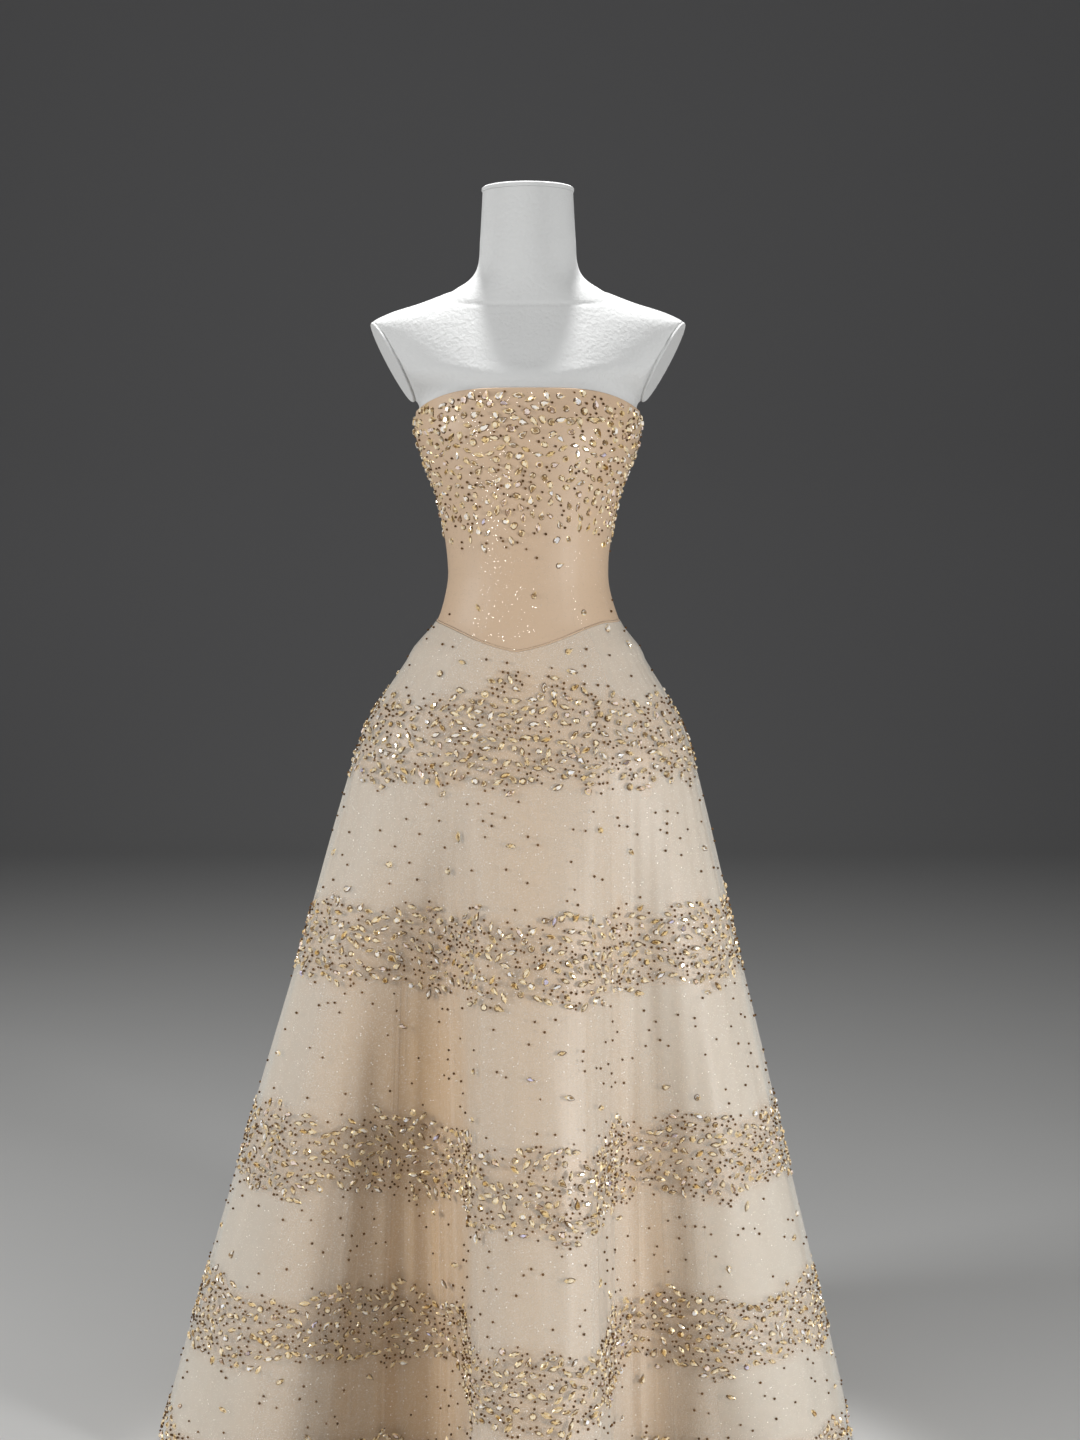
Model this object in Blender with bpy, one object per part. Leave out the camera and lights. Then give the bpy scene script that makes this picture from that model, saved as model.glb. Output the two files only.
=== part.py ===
"""A strapless A-line evening gown on a limbless dress form, in metres.

The form stands on the floor with its axis on the Z axis. The front of the gown faces -Y, and the
wearer's left is +X. Every ring of the gown starts at the centre back and runs by the wearer's right
side, the front and the wearer's left side back to the centre back.
"""

import math
from collections import namedtuple

import bpy
from mathutils import Vector

# Cloth and seams
CLOTH = 0.002  # the satin and the tulle over it, as one wall
SEAM_GAP = 0.0003
PIPING_RADIUS = 0.0013
PIPING_SIDES = 6
PIPING_SECTIONS = 72
EDGE_TO_PIPING = 0.0020  # from the middle of the piping to the cut edges above and below it

# Short steps that a surface's outward direction is read from
ANGLE_PROBE = 0.5  # degrees
PLACE_PROBE = 0.02  # of the way from one fold station to the next
DOWN_PROBE = 0.01  # of the bodice's height
DROP_PROBE = -0.002

# Heights above the floor
HEM_Z = 0.010
HIP_Z = 0.913  # from here down each fold of the skirt hangs in a straight line
WAIST_SIDE_Z = 1.0765
WAIST_POINT_Z = 1.0435
NECKLINE_FRONT_Z = 1.361
NECKLINE_SIDE_Z = 1.337
NECKLINE_BACK_Z = 1.300

# The point of the waist seam, a little to the wearer's right of the middle
WAIST_POINT_X = -0.011
WAIST_POINT_REACH = 0.105
WAIST_POINT_SHARPNESS = 0.6  # 1 is a straight V, 0 a round scoop
WAIST_BACK_DIP = 0.006

# Panels of the bodice: the angle of each seam round the figure, from +X through the back
CENTRE_BACK = 90.0
BACK_SEAM = 40.0  # degrees from the centre back
SIDE_SEAM = 90.0
PRINCESS_SEAM = 150.0
BODICE_STEP = 7.5  # degrees
BODICE_ROWS = 13

# Skirt
STEPS_PER_FOLD = 3  # sections between one fold station and the next
FLARE_ROWS = (0.0, 0.15, 0.32, 0.52, 0.75, 1.0)
HANG_ROWS = (0.2, 0.4, 0.6, 0.8, 1.0)

# Dress form
FORM_CLEARANCE = 0.0012
FORM_BACK_CLEARANCE = 0.0032  # room for the zip's tapes
FORM_STEP = 9.0  # degrees
FORM_FOLLOWS_FROM_Z = 1.10  # from here up to the neckline the form fills the bodice
SHOULDER_START = 0.004  # above the neckline
SHOULDER_BLEND = 0.030
ARM_HOLE_LOW = (0.1385, 1.3455)
ARM_HOLE_HIGH = (0.196, 1.452)
ARM_HOLE_TURN = 12.0  # degrees that the flat face turns to the front
ARM_CAP_THICKNESS = 0.003
ARM_CAP_ROUNDING = 0.0008
ARM_CAP_HALF_WIDTH = 0.041
ARM_CAP_HALF_HEIGHT = 0.055
ARM_CAP_SIDES = 28
NECK_TOP_Z = 1.6050
NECK_CAP_THICKNESS = 0.006
NECK_CAP_OVERHANG = 0.0012
NECK_CAP_ROUNDING = 0.0015
NECK_CAP_TOP_INSET = 0.0006
POLE_RADIUS = 0.0125
POLE_SIDES = 24
BASE_RADIUS = 0.140
BASE_THICKNESS = 0.012
BASE_ROUNDING = 0.004
BOSS_RADIUS = 0.028
BOSS_HEIGHT = 0.022
BASE_SIDES = 40

# Concealed zip at the centre back
ZIP_END_Z = 0.918
ZIP_TOP_MARGIN = 0.004
TAPE_WIDTH = 0.012
TAPE_THICKNESS = 0.001
TAPE_GAP = 0.0009  # from the cloth's inner face, which is flat between its sections
TAPE_ROWS = 14
SLIDER_TOP_MARGIN = 0.012  # from the neckline to the middle of the slider
SLIDER_WIDTH = 0.006
SLIDER_HEIGHT = 0.009
SLIDER_THICKNESS = 0.0016
SLIDER_CORNER = 0.0022
SLIDER_CORNER_STEPS = 4
LUG_WIDTH = 0.0016
LUG_LENGTH = 0.0052
LUG_RISE = 0.0031
LUG_WALL = 0.0009
LUG_CHAMFER = 0.0009
LUG_ROOT = 0.0004  # how far the lug is sunk into the slider
TAB_BAR_RADIUS = 0.0005
TAB_HEAD = 0.0007  # above the swing axis
TAB_CHEEK = 0.0010
TAB_SIDE_PLAY = 0.0004
TAB_THICKNESS = 0.0010
TAB_LENGTH = 0.023
TAB_NECK = 0.0038  # from the swing axis to the top of the full plate
TAB_SHOULDER = 0.0006
TAB_HALF_WIDTH = 0.0031
TAB_TIP_STEPS = 8
TAB_SLOT_HALF_DEPTH = 0.002

# Sections of the figure that the gown is cut for, over the cloth: half widths to the wearer's
# right and left of the axis, and depths to the front and the back of it.
Section = namedtuple("Section", "z right left front back")
FIGURE = [
    Section(1.3700, 0.1375, 0.1375, 0.1060, 0.0925),
    Section(1.3400, 0.1395, 0.1395, 0.1135, 0.0945),
    Section(1.3100, 0.1410, 0.1410, 0.1170, 0.0950),
    Section(1.2660, 0.1270, 0.1270, 0.1120, 0.0930),
    Section(1.2360, 0.1165, 0.1165, 0.1050, 0.0905),
    Section(1.2060, 0.1090, 0.1090, 0.0975, 0.0880),
    Section(1.1760, 0.1040, 0.1040, 0.0915, 0.0855),
    Section(1.1460, 0.1006, 0.1006, 0.0880, 0.0840),
    Section(1.1160, 0.1030, 0.1030, 0.0880, 0.0850),
    Section(1.0850, 0.1110, 0.1120, 0.0900, 0.0885),
    Section(1.0700, 0.1190, 0.1185, 0.0915, 0.0915),
    Section(1.0550, 0.1325, 0.1300, 0.0940, 0.0960),
    Section(1.0400, 0.1450, 0.1415, 0.0970, 0.1010),
    Section(1.0260, 0.1520, 0.1470, 0.1005, 0.1060),
    Section(0.9885, 0.1760, 0.1690, 0.1090, 0.1190),
    Section(0.9510, 0.1990, 0.1895, 0.1180, 0.1300),
    Section(0.9130, 0.2140, 0.2040, 0.1270, 0.1390),
]

# The skirt's fold stations: where each leaves the hip section, and where it ends at floor level.
Fold = namedtuple("Fold", "place hip_angle hem_x hem_y")
FOLDS = [
    Fold("centre back peak", 90, 0.004, 0.402),
    Fold("right cheek of the peak", 99, -0.050, 0.378),
    Fold("right wall of the peak", 107, -0.082, 0.300),
    Fold("right back valley", 115, -0.112, 0.218),
    Fold("inner wall of the right back peak", 123, -0.150, 0.262),
    Fold("right back peak", 131, -0.205, 0.338),
    Fold("outer cheek of the right back peak", 139, -0.268, 0.322),
    Fold("outer wall of the right back peak", 147, -0.296, 0.240),
    Fold("right side valley", 155, -0.318, 0.158),
    Fold("right side, rising", 163, -0.378, 0.140),
    Fold("right side, back cheek", 171, -0.452, 0.090),
    Fold("right side seam", 180, -0.484, 0.000),
    Fold("right side, front cheek", 189, -0.462, -0.078),
    Fold("right wing, outer", 198, -0.392, -0.132),
    Fold("right wing, crest", 208, -0.305, -0.150),
    Fold("right wing, inner", 218, -0.222, -0.118),
    Fold("right wing, falling", 229, -0.158, -0.096),
    Fold("right front valley", 238, -0.110, -0.105),
    Fold("right foot of the front fold", 245, -0.078, -0.165),
    Fold("right wall of the front fold", 250, -0.066, -0.250),
    Fold("right corner of the front fold", 255, -0.058, -0.325),
    Fold("right cheek of the front fold", 263, -0.028, -0.360),
    Fold("centre front", 272, 0.014, -0.370),
    Fold("left cheek of the front fold", 281, 0.054, -0.358),
    Fold("left corner of the front fold", 291, 0.085, -0.318),
    Fold("left wall of the front fold", 297, 0.095, -0.245),
    Fold("left foot of the front fold", 301, 0.104, -0.165),
    Fold("left front valley", 307, 0.130, -0.118),
    Fold("left wing, falling", 315, 0.178, -0.122),
    Fold("left wing, inner", 324, 0.240, -0.150),
    Fold("left wing, crest", 333, 0.312, -0.148),
    Fold("left wing, outer", 342, 0.374, -0.108),
    Fold("left side, front cheek", 351, 0.412, -0.055),
    Fold("left side seam", 360, 0.424, 0.005),
    Fold("left side, back cheek", 369, 0.404, 0.082),
    Fold("left side, falling", 377, 0.352, 0.138),
    Fold("left side valley", 385, 0.296, 0.165),
    Fold("outer wall of the left back peak", 393, 0.276, 0.245),
    Fold("left back peak", 401, 0.232, 0.325),
    Fold("inner cheek of the left back peak", 409, 0.176, 0.330),
    Fold("inner wall of the left back peak", 417, 0.134, 0.262),
    Fold("left back valley", 425, 0.106, 0.205),
    Fold("left wall of the centre back peak", 433, 0.078, 0.285),
    Fold("left cheek of the centre back peak", 441, 0.050, 0.368),
]

# The form below the waist and above the neckline: half width, front and back
FormSection = namedtuple("FormSection", "z half front back")
FORM_HIPS = [
    FormSection(1.100, 0.1040, 0.0860, 0.0825),
    FormSection(1.060, 0.1135, 0.0875, 0.0880),
    FormSection(1.010, 0.1330, 0.0900, 0.1000),
    FormSection(0.960, 0.1480, 0.0930, 0.1110),
    FormSection(0.920, 0.1530, 0.0940, 0.1160),
    FormSection(0.870, 0.1500, 0.0920, 0.1120),
    FormSection(0.820, 0.1430, 0.0890, 0.1030),
    FormSection(0.802, 0.1390, 0.0860, 0.0990),
    FormSection(0.792, 0.1310, 0.0790, 0.0910),
    FormSection(0.788, 0.1200, 0.0690, 0.0800),
]
FORM_SHOULDERS = [
    FormSection(1.300, 0.1380, 0.1130, 0.0910),
    FormSection(1.340, 0.1500, 0.1090, 0.0915),
    FormSection(1.365, 0.1630, 0.1030, 0.0925),
    FormSection(1.385, 0.1770, 0.0960, 0.0930),
    FormSection(1.405, 0.1890, 0.0865, 0.0930),
    FormSection(1.425, 0.1970, 0.0765, 0.0905),
    FormSection(1.445, 0.1960, 0.0665, 0.0850),
    FormSection(1.458, 0.1720, 0.0610, 0.0800),
    FormSection(1.470, 0.1340, 0.0580, 0.0755),
    FormSection(1.484, 0.0980, 0.0560, 0.0700),
    FormSection(1.498, 0.0735, 0.0555, 0.0650),
    FormSection(1.515, 0.0625, 0.0560, 0.0600),
    FormSection(1.545, 0.0595, 0.0560, 0.0570),
    FormSection(1.605, 0.0560, 0.0540, 0.0545),
]
FORM_HEIGHTS = (
    [0.788, 0.792, 0.802, 0.830, 0.870, 0.920, 0.960, 1.000, 1.040, 1.075]
    + [1.100, 1.125, 1.150, 1.180, 1.210, 1.240, 1.270, 1.300, 1.320, 1.337]
    + [1.352, 1.366, 1.384, 1.402, 1.420, 1.436, 1.449, 1.458, 1.468, 1.479]
    + [1.492, 1.506, 1.525, 1.560]
)


def remove_everything():
    for item in list(bpy.data.objects):
        bpy.data.objects.remove(item, do_unlink=True)


def finish(name, colour, roughness, metallic=0.0):
    """A plain Principled material."""
    material = bpy.data.materials.new(name)
    material.use_nodes = True
    shader = material.node_tree.nodes["Principled BSDF"]
    shader.inputs["Base Color"].default_value = (*colour, 1.0)
    shader.inputs["Roughness"].default_value = roughness
    shader.inputs["Metallic"].default_value = metallic
    return material


def add_object(name, points, faces, material, sharp_degrees=40.0):
    """A named object from points and faces, shaded smooth but for its sharp edges."""
    mesh = bpy.data.meshes.new(name)
    mesh.from_pydata([tuple(p) for p in points], [], faces)
    mesh.materials.append(material)
    mesh.shade_smooth()
    mesh.set_sharp_from_angle(angle=math.radians(sharp_degrees))
    item = bpy.data.objects.new(name, mesh)
    bpy.context.scene.collection.objects.link(item)
    return item


def between_rows(rows, z):
    """The section at height z: a smooth curve through every column of the table."""
    rows = sorted(rows, key=lambda row: row.z)
    z = min(max(z, rows[0].z), rows[-1].z)
    i = 0
    while i < len(rows) - 2 and rows[i + 1].z < z:
        i += 1
    low, high = rows[i], rows[i + 1]
    before = rows[max(i - 1, 0)]
    after = rows[min(i + 2, len(rows) - 1)]
    span = high.z - low.z
    t = (z - low.z) / span
    values = []
    for column in range(1, len(low)):
        slope_low = (high[column] - before[column]) / (high.z - before.z) * span
        slope_high = (after[column] - low[column]) / (after.z - low.z) * span
        a = 2 * t**3 - 3 * t**2 + 1
        b = t**3 - 2 * t**2 + t
        c = -2 * t**3 + 3 * t**2
        d = t**3 - t**2
        values.append(a * low[column] + b * slope_low + c * high[column] + d * slope_high)
    return type(low)(z, *values)


def smooth_step(t):
    t = min(max(t, 0.0), 1.0)
    return t * t * (3 - 2 * t)


def on_oval(angle, right, left, front, back, z):
    """A point of an oval whose four quarters have their own half widths and depths."""
    x = math.cos(math.radians(angle))
    y = math.sin(math.radians(angle))
    return Vector((x * (left if x > 0 else right), y * (back if y > 0 else front), z))


def on_figure(angle, z):
    s = between_rows(FIGURE, z)
    return on_oval(angle, s.right, s.left, s.front, s.back, z)


def neckline_z(angle):
    """The arched top edge: high at the front, lower at the sides and the back."""
    across = abs(math.cos(math.radians(angle)))
    depth = math.sin(math.radians(angle))
    if depth <= 0:
        return NECKLINE_FRONT_Z - (NECKLINE_FRONT_Z - NECKLINE_SIDE_Z) * across**4
    return NECKLINE_SIDE_Z - (NECKLINE_SIDE_Z - NECKLINE_BACK_Z) * smooth_step(depth)


def waist_z(angle):
    """The waist seam: a shallow V in front and a slight dip at the back."""
    depth = math.sin(math.radians(angle))
    if depth > 0:
        return WAIST_SIDE_Z - WAIST_BACK_DIP * depth**2
    section = between_rows(FIGURE, WAIST_SIDE_Z)
    x = on_oval(angle, section.right, section.left, section.front, section.back, 0).x
    away = min(abs(x - WAIST_POINT_X) / WAIST_POINT_REACH, 1.0)
    round_rise = (1 - WAIST_POINT_SHARPNESS) * smooth_step(away)
    rise = WAIST_POINT_SHARPNESS * away + round_rise
    return WAIST_POINT_Z + (WAIST_SIDE_Z - WAIST_POINT_Z) * rise


def on_bodice(angle, down):
    """The bodice's outer face, from the neckline at down=0 to the waist seam at down=1."""
    top = neckline_z(angle)
    bottom = waist_z(angle) + EDGE_TO_PIPING
    return on_figure(angle, top + (bottom - top) * down)


def through_folds(place, column):
    """A smooth closed curve through one column of the fold stations; place counts stations."""
    count = len(FOLDS)
    i = math.floor(place)
    t = place - i
    a, b, c, d = (column(FOLDS[(i + k) % count], (i + k) // count) for k in (-1, 0, 1, 2))
    return (
        0.5 * ((2 * b) + (c - a) * t + (2 * a - 5 * b + 4 * c - d) * t**2)
        + 0.5 * (3 * b - a - 3 * c + d) * t**3
    )


def hip_angle(place):
    return through_folds(place, lambda fold, turns: fold.hip_angle + 360 * turns)


def on_skirt(place, z):
    """The skirt's outer face at one place round it: on the figure down to the hip, then falling
    in a straight line to the hem."""
    angle = hip_angle(place)
    if z >= HIP_Z:
        return on_figure(angle, z)
    hip = on_figure(angle, HIP_Z)
    fall = (HIP_Z - z) / HIP_Z
    hem_x = through_folds(place, lambda fold, turns: fold.hem_x)
    hem_y = through_folds(place, lambda fold, turns: fold.hem_y)
    return Vector((hip.x + (hem_x - hip.x) * fall, hip.y + (hem_y - hip.y) * fall, z))


def skirt_height(place, row):
    """The height of one row of sections: the flare's rows first, then the hanging rows."""
    if row < len(FLARE_ROWS):
        top = waist_z(hip_angle(place)) - EDGE_TO_PIPING
        return top + (HIP_Z - top) * FLARE_ROWS[row]
    return HIP_Z + (HEM_Z - HIP_Z) * HANG_ROWS[row - len(FLARE_ROWS)]


def outward(surface, place, down, place_step, down_step):
    """The surface's outward direction, from two short steps across and down it."""
    across = surface(place + place_step, down) - surface(place - place_step, down)
    along = surface(place, down + down_step) - surface(place, down - down_step)
    return along.cross(across).normalized()


def shell(name, outer, inner, material):
    """A closed wall between two grids of points, rows by columns, with plain edges."""
    rows = len(outer)
    columns = len(outer[0])
    points = [p for row in outer for p in row] + [p for row in inner for p in row]
    inside = rows * columns
    faces = []

    def at(row, column):
        return row * columns + column

    for r in range(rows - 1):
        for c in range(columns - 1):
            a, b, d, e = at(r, c), at(r, c + 1), at(r + 1, c + 1), at(r + 1, c)
            faces.append((a, e, d, b))
            faces.append((a + inside, b + inside, d + inside, e + inside))
    for c in range(columns - 1):
        a, b = at(0, c), at(0, c + 1)
        faces.append((a, b, b + inside, a + inside))
        a, b = at(rows - 1, c), at(rows - 1, c + 1)
        faces.append((b, a, a + inside, b + inside))
    for r in range(rows - 1):
        a, b = at(r, 0), at(r + 1, 0)
        faces.append((b, a, a + inside, b + inside))
        a, b = at(r, columns - 1), at(r + 1, columns - 1)
        faces.append((a, b, b + inside, a + inside))
    return add_object(name, points, faces, material)


def seam_step(surface, place, down, width, probe):
    """How far place has to move for the surface to move by width."""
    length = (surface(place + probe, down) - surface(place - probe, down)).length
    return width * 2 * probe / length


def cloth_panel(name, surface, places, downs, material, probe, down_probe):
    """A wall of cloth under the surface, its two side edges half a seam gap short."""
    outer = []
    inner = []
    for down in downs:
        step_in = seam_step(surface, places[0], down, SEAM_GAP / 2, probe)
        step_out = seam_step(surface, places[-1], down, SEAM_GAP / 2, probe)
        row = [places[0] + step_in] + places[1:-1] + [places[-1] - step_out]
        outer.append([surface(place, down) for place in row])
        inner.append(
            [
                surface(place, down) - CLOTH * outward(surface, place, down, probe, down_probe)
                for place in row
            ]
        )
    return shell(name, outer, inner, material)


def spread(start, end, steps):
    return [start + (end - start) * i / steps for i in range(steps + 1)]


def build_bodice():
    satin = finish("bodice_satin", (0.80, 0.62, 0.45), 0.55)
    seams = [
        ("bodice_back_right", CENTRE_BACK, CENTRE_BACK + BACK_SEAM),
        ("bodice_side_back_right", CENTRE_BACK + BACK_SEAM, CENTRE_BACK + SIDE_SEAM),
        ("bodice_side_front_right", CENTRE_BACK + SIDE_SEAM, CENTRE_BACK + PRINCESS_SEAM),
        ("bodice_front", CENTRE_BACK + PRINCESS_SEAM, CENTRE_BACK + 360 - PRINCESS_SEAM),
        ("bodice_side_front_left", CENTRE_BACK + 360 - PRINCESS_SEAM, CENTRE_BACK + 360 - SIDE_SEAM),
        ("bodice_side_back_left", CENTRE_BACK + 360 - SIDE_SEAM, CENTRE_BACK + 360 - BACK_SEAM),
        ("bodice_back_left", CENTRE_BACK + 360 - BACK_SEAM, CENTRE_BACK + 360),
    ]
    downs = spread(0.0, 1.0, BODICE_ROWS)
    for name, start, end in seams:
        angles = spread(start, end, round((end - start) / BODICE_STEP))
        cloth_panel(name, on_bodice, angles, downs, satin, ANGLE_PROBE, DOWN_PROBE)


def build_skirt():
    tulle = finish("skirt_tulle", (0.74, 0.62, 0.48), 0.6)
    valleys = {fold.place: i for i, fold in enumerate(FOLDS)}
    right_back = valleys["right back valley"]
    right_side = valleys["right side seam"]
    right_front = valleys["right front valley"]
    left_front = valleys["left front valley"]
    left_side = valleys["left side seam"]
    left_back = valleys["left back valley"]
    gores = [
        ("skirt_back_right", 0, right_back),
        ("skirt_side_back_right", right_back, right_side),
        ("skirt_side_front_right", right_side, right_front),
        ("skirt_front", right_front, left_front),
        ("skirt_side_front_left", left_front, left_side),
        ("skirt_side_back_left", left_side, left_back),
        ("skirt_back_left", left_back, len(FOLDS)),
    ]
    row_count = len(FLARE_ROWS) + len(HANG_ROWS)
    for name, start, end in gores:
        places = spread(float(start), float(end), (end - start) * STEPS_PER_FOLD)
        outer = []
        inner = []
        for row in range(row_count):
            z_mid = skirt_height((start + end) / 2, row)
            step_in = seam_step(on_skirt, places[0], z_mid, SEAM_GAP / 2, PLACE_PROBE)
            step_out = seam_step(on_skirt, places[-1], z_mid, SEAM_GAP / 2, PLACE_PROBE)
            line = [places[0] + step_in] + places[1:-1] + [places[-1] - step_out]
            outer_row = []
            inner_row = []
            for place in line:
                z = skirt_height(place, row)
                point = on_skirt(place, z)
                direction = outward(on_skirt, place, z, PLACE_PROBE, DROP_PROBE)
                inner_point = point - CLOTH * direction
                if row in (0, row_count - 1):
                    inner_point.z = z
                outer_row.append(point)
                inner_row.append(inner_point)
            outer.append(outer_row)
            inner.append(inner_row)
        shell(name, outer, inner, tulle)


def tube(name, path, ups, radius, sides, material):
    """A closed round tube along a path; ups holds a direction across the path at each point."""
    points = []
    for i, centre in enumerate(path):
        ahead = path[min(i + 1, len(path) - 1)] - path[max(i - 1, 0)]
        side = ahead.cross(ups[i]).normalized()
        up = side.cross(ahead).normalized()
        for k in range(sides):
            turn = 2 * math.pi * k / sides
            points.append(centre + radius * (math.cos(turn) * side + math.sin(turn) * up))
    faces = [tuple(range(sides)), tuple(range(len(points) - 1, len(points) - sides - 1, -1))]
    for i in range(len(path) - 1):
        for k in range(sides):
            a = i * sides + k
            b = i * sides + (k + 1) % sides
            faces.append((a, a + sides, b + sides, b))
    return add_object(name, points, faces, material)


def build_piping():
    cord = finish("piping_satin", (0.62, 0.46, 0.32), 0.5)
    back_radius = on_figure(0, waist_z(0)).x
    end_gap = math.degrees((SEAM_GAP + PIPING_RADIUS) / back_radius)
    angles = spread(CENTRE_BACK + end_gap, CENTRE_BACK + 360 - end_gap, PIPING_SECTIONS)
    path = []
    ups = []
    for angle in angles:
        z = waist_z(angle)
        direction = outward(on_figure, angle, z, ANGLE_PROBE, DROP_PROBE)
        path.append(on_figure(angle, z) - (CLOTH - PIPING_RADIUS) / 2 * direction)
        ups.append(direction)
    tube("waist_piping", path, ups, PIPING_RADIUS, PIPING_SIDES, cord)


def build_zip_tapes():
    """Two woven tapes inside the centre back, from under the neckline down over the waist seam."""
    woven = finish("zip_tape_woven", (0.72, 0.58, 0.43), 0.8)
    top = neckline_z(CENTRE_BACK) - ZIP_TOP_MARGIN
    heights = spread(top, ZIP_END_Z, TAPE_ROWS)
    for name, side in (("zip_tape_right", 1), ("zip_tape_left", -1)):
        outer = []
        inner = []
        for z in heights:
            outer_row = []
            inner_row = []
            radius = on_figure(0, z).x
            start = math.degrees(SEAM_GAP / 2 / radius)
            end = math.degrees(TAPE_WIDTH / radius)
            turns = spread(start, end, 2) if side > 0 else spread(-end, -start, 2)
            for turn in turns:
                point = on_figure(CENTRE_BACK + turn, z)
                direction = outward(on_figure, CENTRE_BACK + turn, z, ANGLE_PROBE, DROP_PROBE)
                outer_row.append(point - (CLOTH + TAPE_GAP) * direction)
                inner_row.append(point - (CLOTH + TAPE_GAP + TAPE_THICKNESS) * direction)
            outer.append(outer_row)
            inner.append(inner_row)
        shell(name, outer, inner, woven)


def turned(name, profile, sides, material):
    """A solid of revolution round the Z axis from (radius, z) points, bottom to top."""
    points = []
    for radius, z in profile:
        for k in range(sides):
            turn = 2 * math.pi * k / sides
            points.append((radius * math.cos(turn), radius * math.sin(turn), z))
    faces = [tuple(range(sides - 1, -1, -1)), tuple(range(len(points) - sides, len(points)))]
    for i in range(len(profile) - 1):
        for k in range(sides):
            a = i * sides + k
            b = i * sides + (k + 1) % sides
            faces.append((a, b, b + sides, a + sides))
    return add_object(name, points, faces, material)


def form_point(angle, z):
    """The form's surface: hips below the waist, then inside the bodice, then the shoulders."""
    if z < FORM_FOLLOWS_FROM_Z:
        s = between_rows(FORM_HIPS, z)
        return on_oval(angle, s.half, s.half, s.front, s.back, z)
    under_cloth = between_rows(FIGURE, min(z, FIGURE[0].z))
    inset = CLOTH + FORM_CLEARANCE
    inside = on_oval(
        angle,
        under_cloth.right - inset,
        under_cloth.left - inset,
        under_cloth.front - inset,
        under_cloth.back - CLOTH - FORM_BACK_CLEARANCE,
        z,
    )
    bare_from = neckline_z(angle) + SHOULDER_START
    if z <= bare_from:
        return inside
    s = between_rows(FORM_SHOULDERS, z)
    bare = on_oval(angle, s.half, s.half, s.front, s.back, z)
    return trimmed_at_arm(inside.lerp(bare, smooth_step((z - bare_from) / SHOULDER_BLEND)))


def arm_plane(side):
    """The middle of the flat armhole face, its outward direction and its rising direction."""
    low = Vector((ARM_HOLE_LOW[0], 0, ARM_HOLE_LOW[1]))
    high = Vector((ARM_HOLE_HIGH[0], 0, ARM_HOLE_HIGH[1]))
    along = (high - low).normalized()
    turn = math.radians(ARM_HOLE_TURN)
    normal = Vector((side * along.z * math.cos(turn), -along.z * math.sin(turn), -along.x))
    middle = (low + high) / 2
    middle.x *= side
    across = normal.cross(Vector((0, 0, 1))).normalized()
    return middle, normal, across.cross(normal).normalized(), across


def trimmed_at_arm(point):
    """The form's surface point, held back to the flat armhole face."""
    middle, normal, _, _ = arm_plane(1 if point.x > 0 else -1)
    flat_x = middle.x - (normal.y * point.y + normal.z * (point.z - middle.z)) / normal.x
    if abs(point.x) > abs(flat_x):
        return Vector((flat_x, point.y, point.z))
    return point


def build_form():
    cover = finish("form_cover", (0.86, 0.86, 0.85), 0.75)
    angles = spread(0.0, 360.0, round(360 / FORM_STEP))[:-1]
    heights = FORM_HEIGHTS + [NECK_TOP_Z]
    count = len(angles)
    points = [form_point(angle, z) for z in heights for angle in angles]
    faces = [tuple(range(count - 1, -1, -1)), tuple(range(len(points) - count, len(points)))]
    for i in range(len(heights) - 1):
        for k in range(count):
            a = i * count + k
            b = i * count + (k + 1) % count
            faces.append((a, b, b + count, a + count))
    add_object("form_torso", points, faces, cover, sharp_degrees=32)
    build_arm_caps()
    build_neck_cap(angles)


def build_arm_caps():
    """Oval covered boards on the flat armhole faces, with a rounded outer edge."""
    board = finish("arm_cap_cover", (0.84, 0.84, 0.83), 0.7)
    levels = [
        (0.0, SEAM_GAP),
        (0.0, SEAM_GAP + ARM_CAP_THICKNESS - ARM_CAP_ROUNDING),
        (-ARM_CAP_ROUNDING, SEAM_GAP + ARM_CAP_THICKNESS),
    ]
    for side in (1, -1):
        middle, normal, rising, across = arm_plane(side)
        points = []
        for grow, lift in levels:
            for k in range(ARM_CAP_SIDES):
                turn = 2 * math.pi * k / ARM_CAP_SIDES
                wide = (ARM_CAP_HALF_WIDTH + grow) * math.cos(turn)
                high = (ARM_CAP_HALF_HEIGHT + grow) * math.sin(turn)
                points.append(middle + lift * normal + wide * across + high * rising)
        low = list(range(ARM_CAP_SIDES))
        top = list(range(2 * ARM_CAP_SIDES, 3 * ARM_CAP_SIDES))
        faces = [tuple(reversed(low)), tuple(top)]
        for i in range(2):
            for k in low:
                a = i * ARM_CAP_SIDES + k
                b = i * ARM_CAP_SIDES + (k + 1) % ARM_CAP_SIDES
                faces.append((a, b, b + ARM_CAP_SIDES, a + ARM_CAP_SIDES))
        if across.cross(rising).dot(normal) < 0:
            faces = [tuple(reversed(face)) for face in faces]
        add_object("form_arm_cap_left" if side > 0 else "form_arm_cap_right", points, faces, board)


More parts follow.
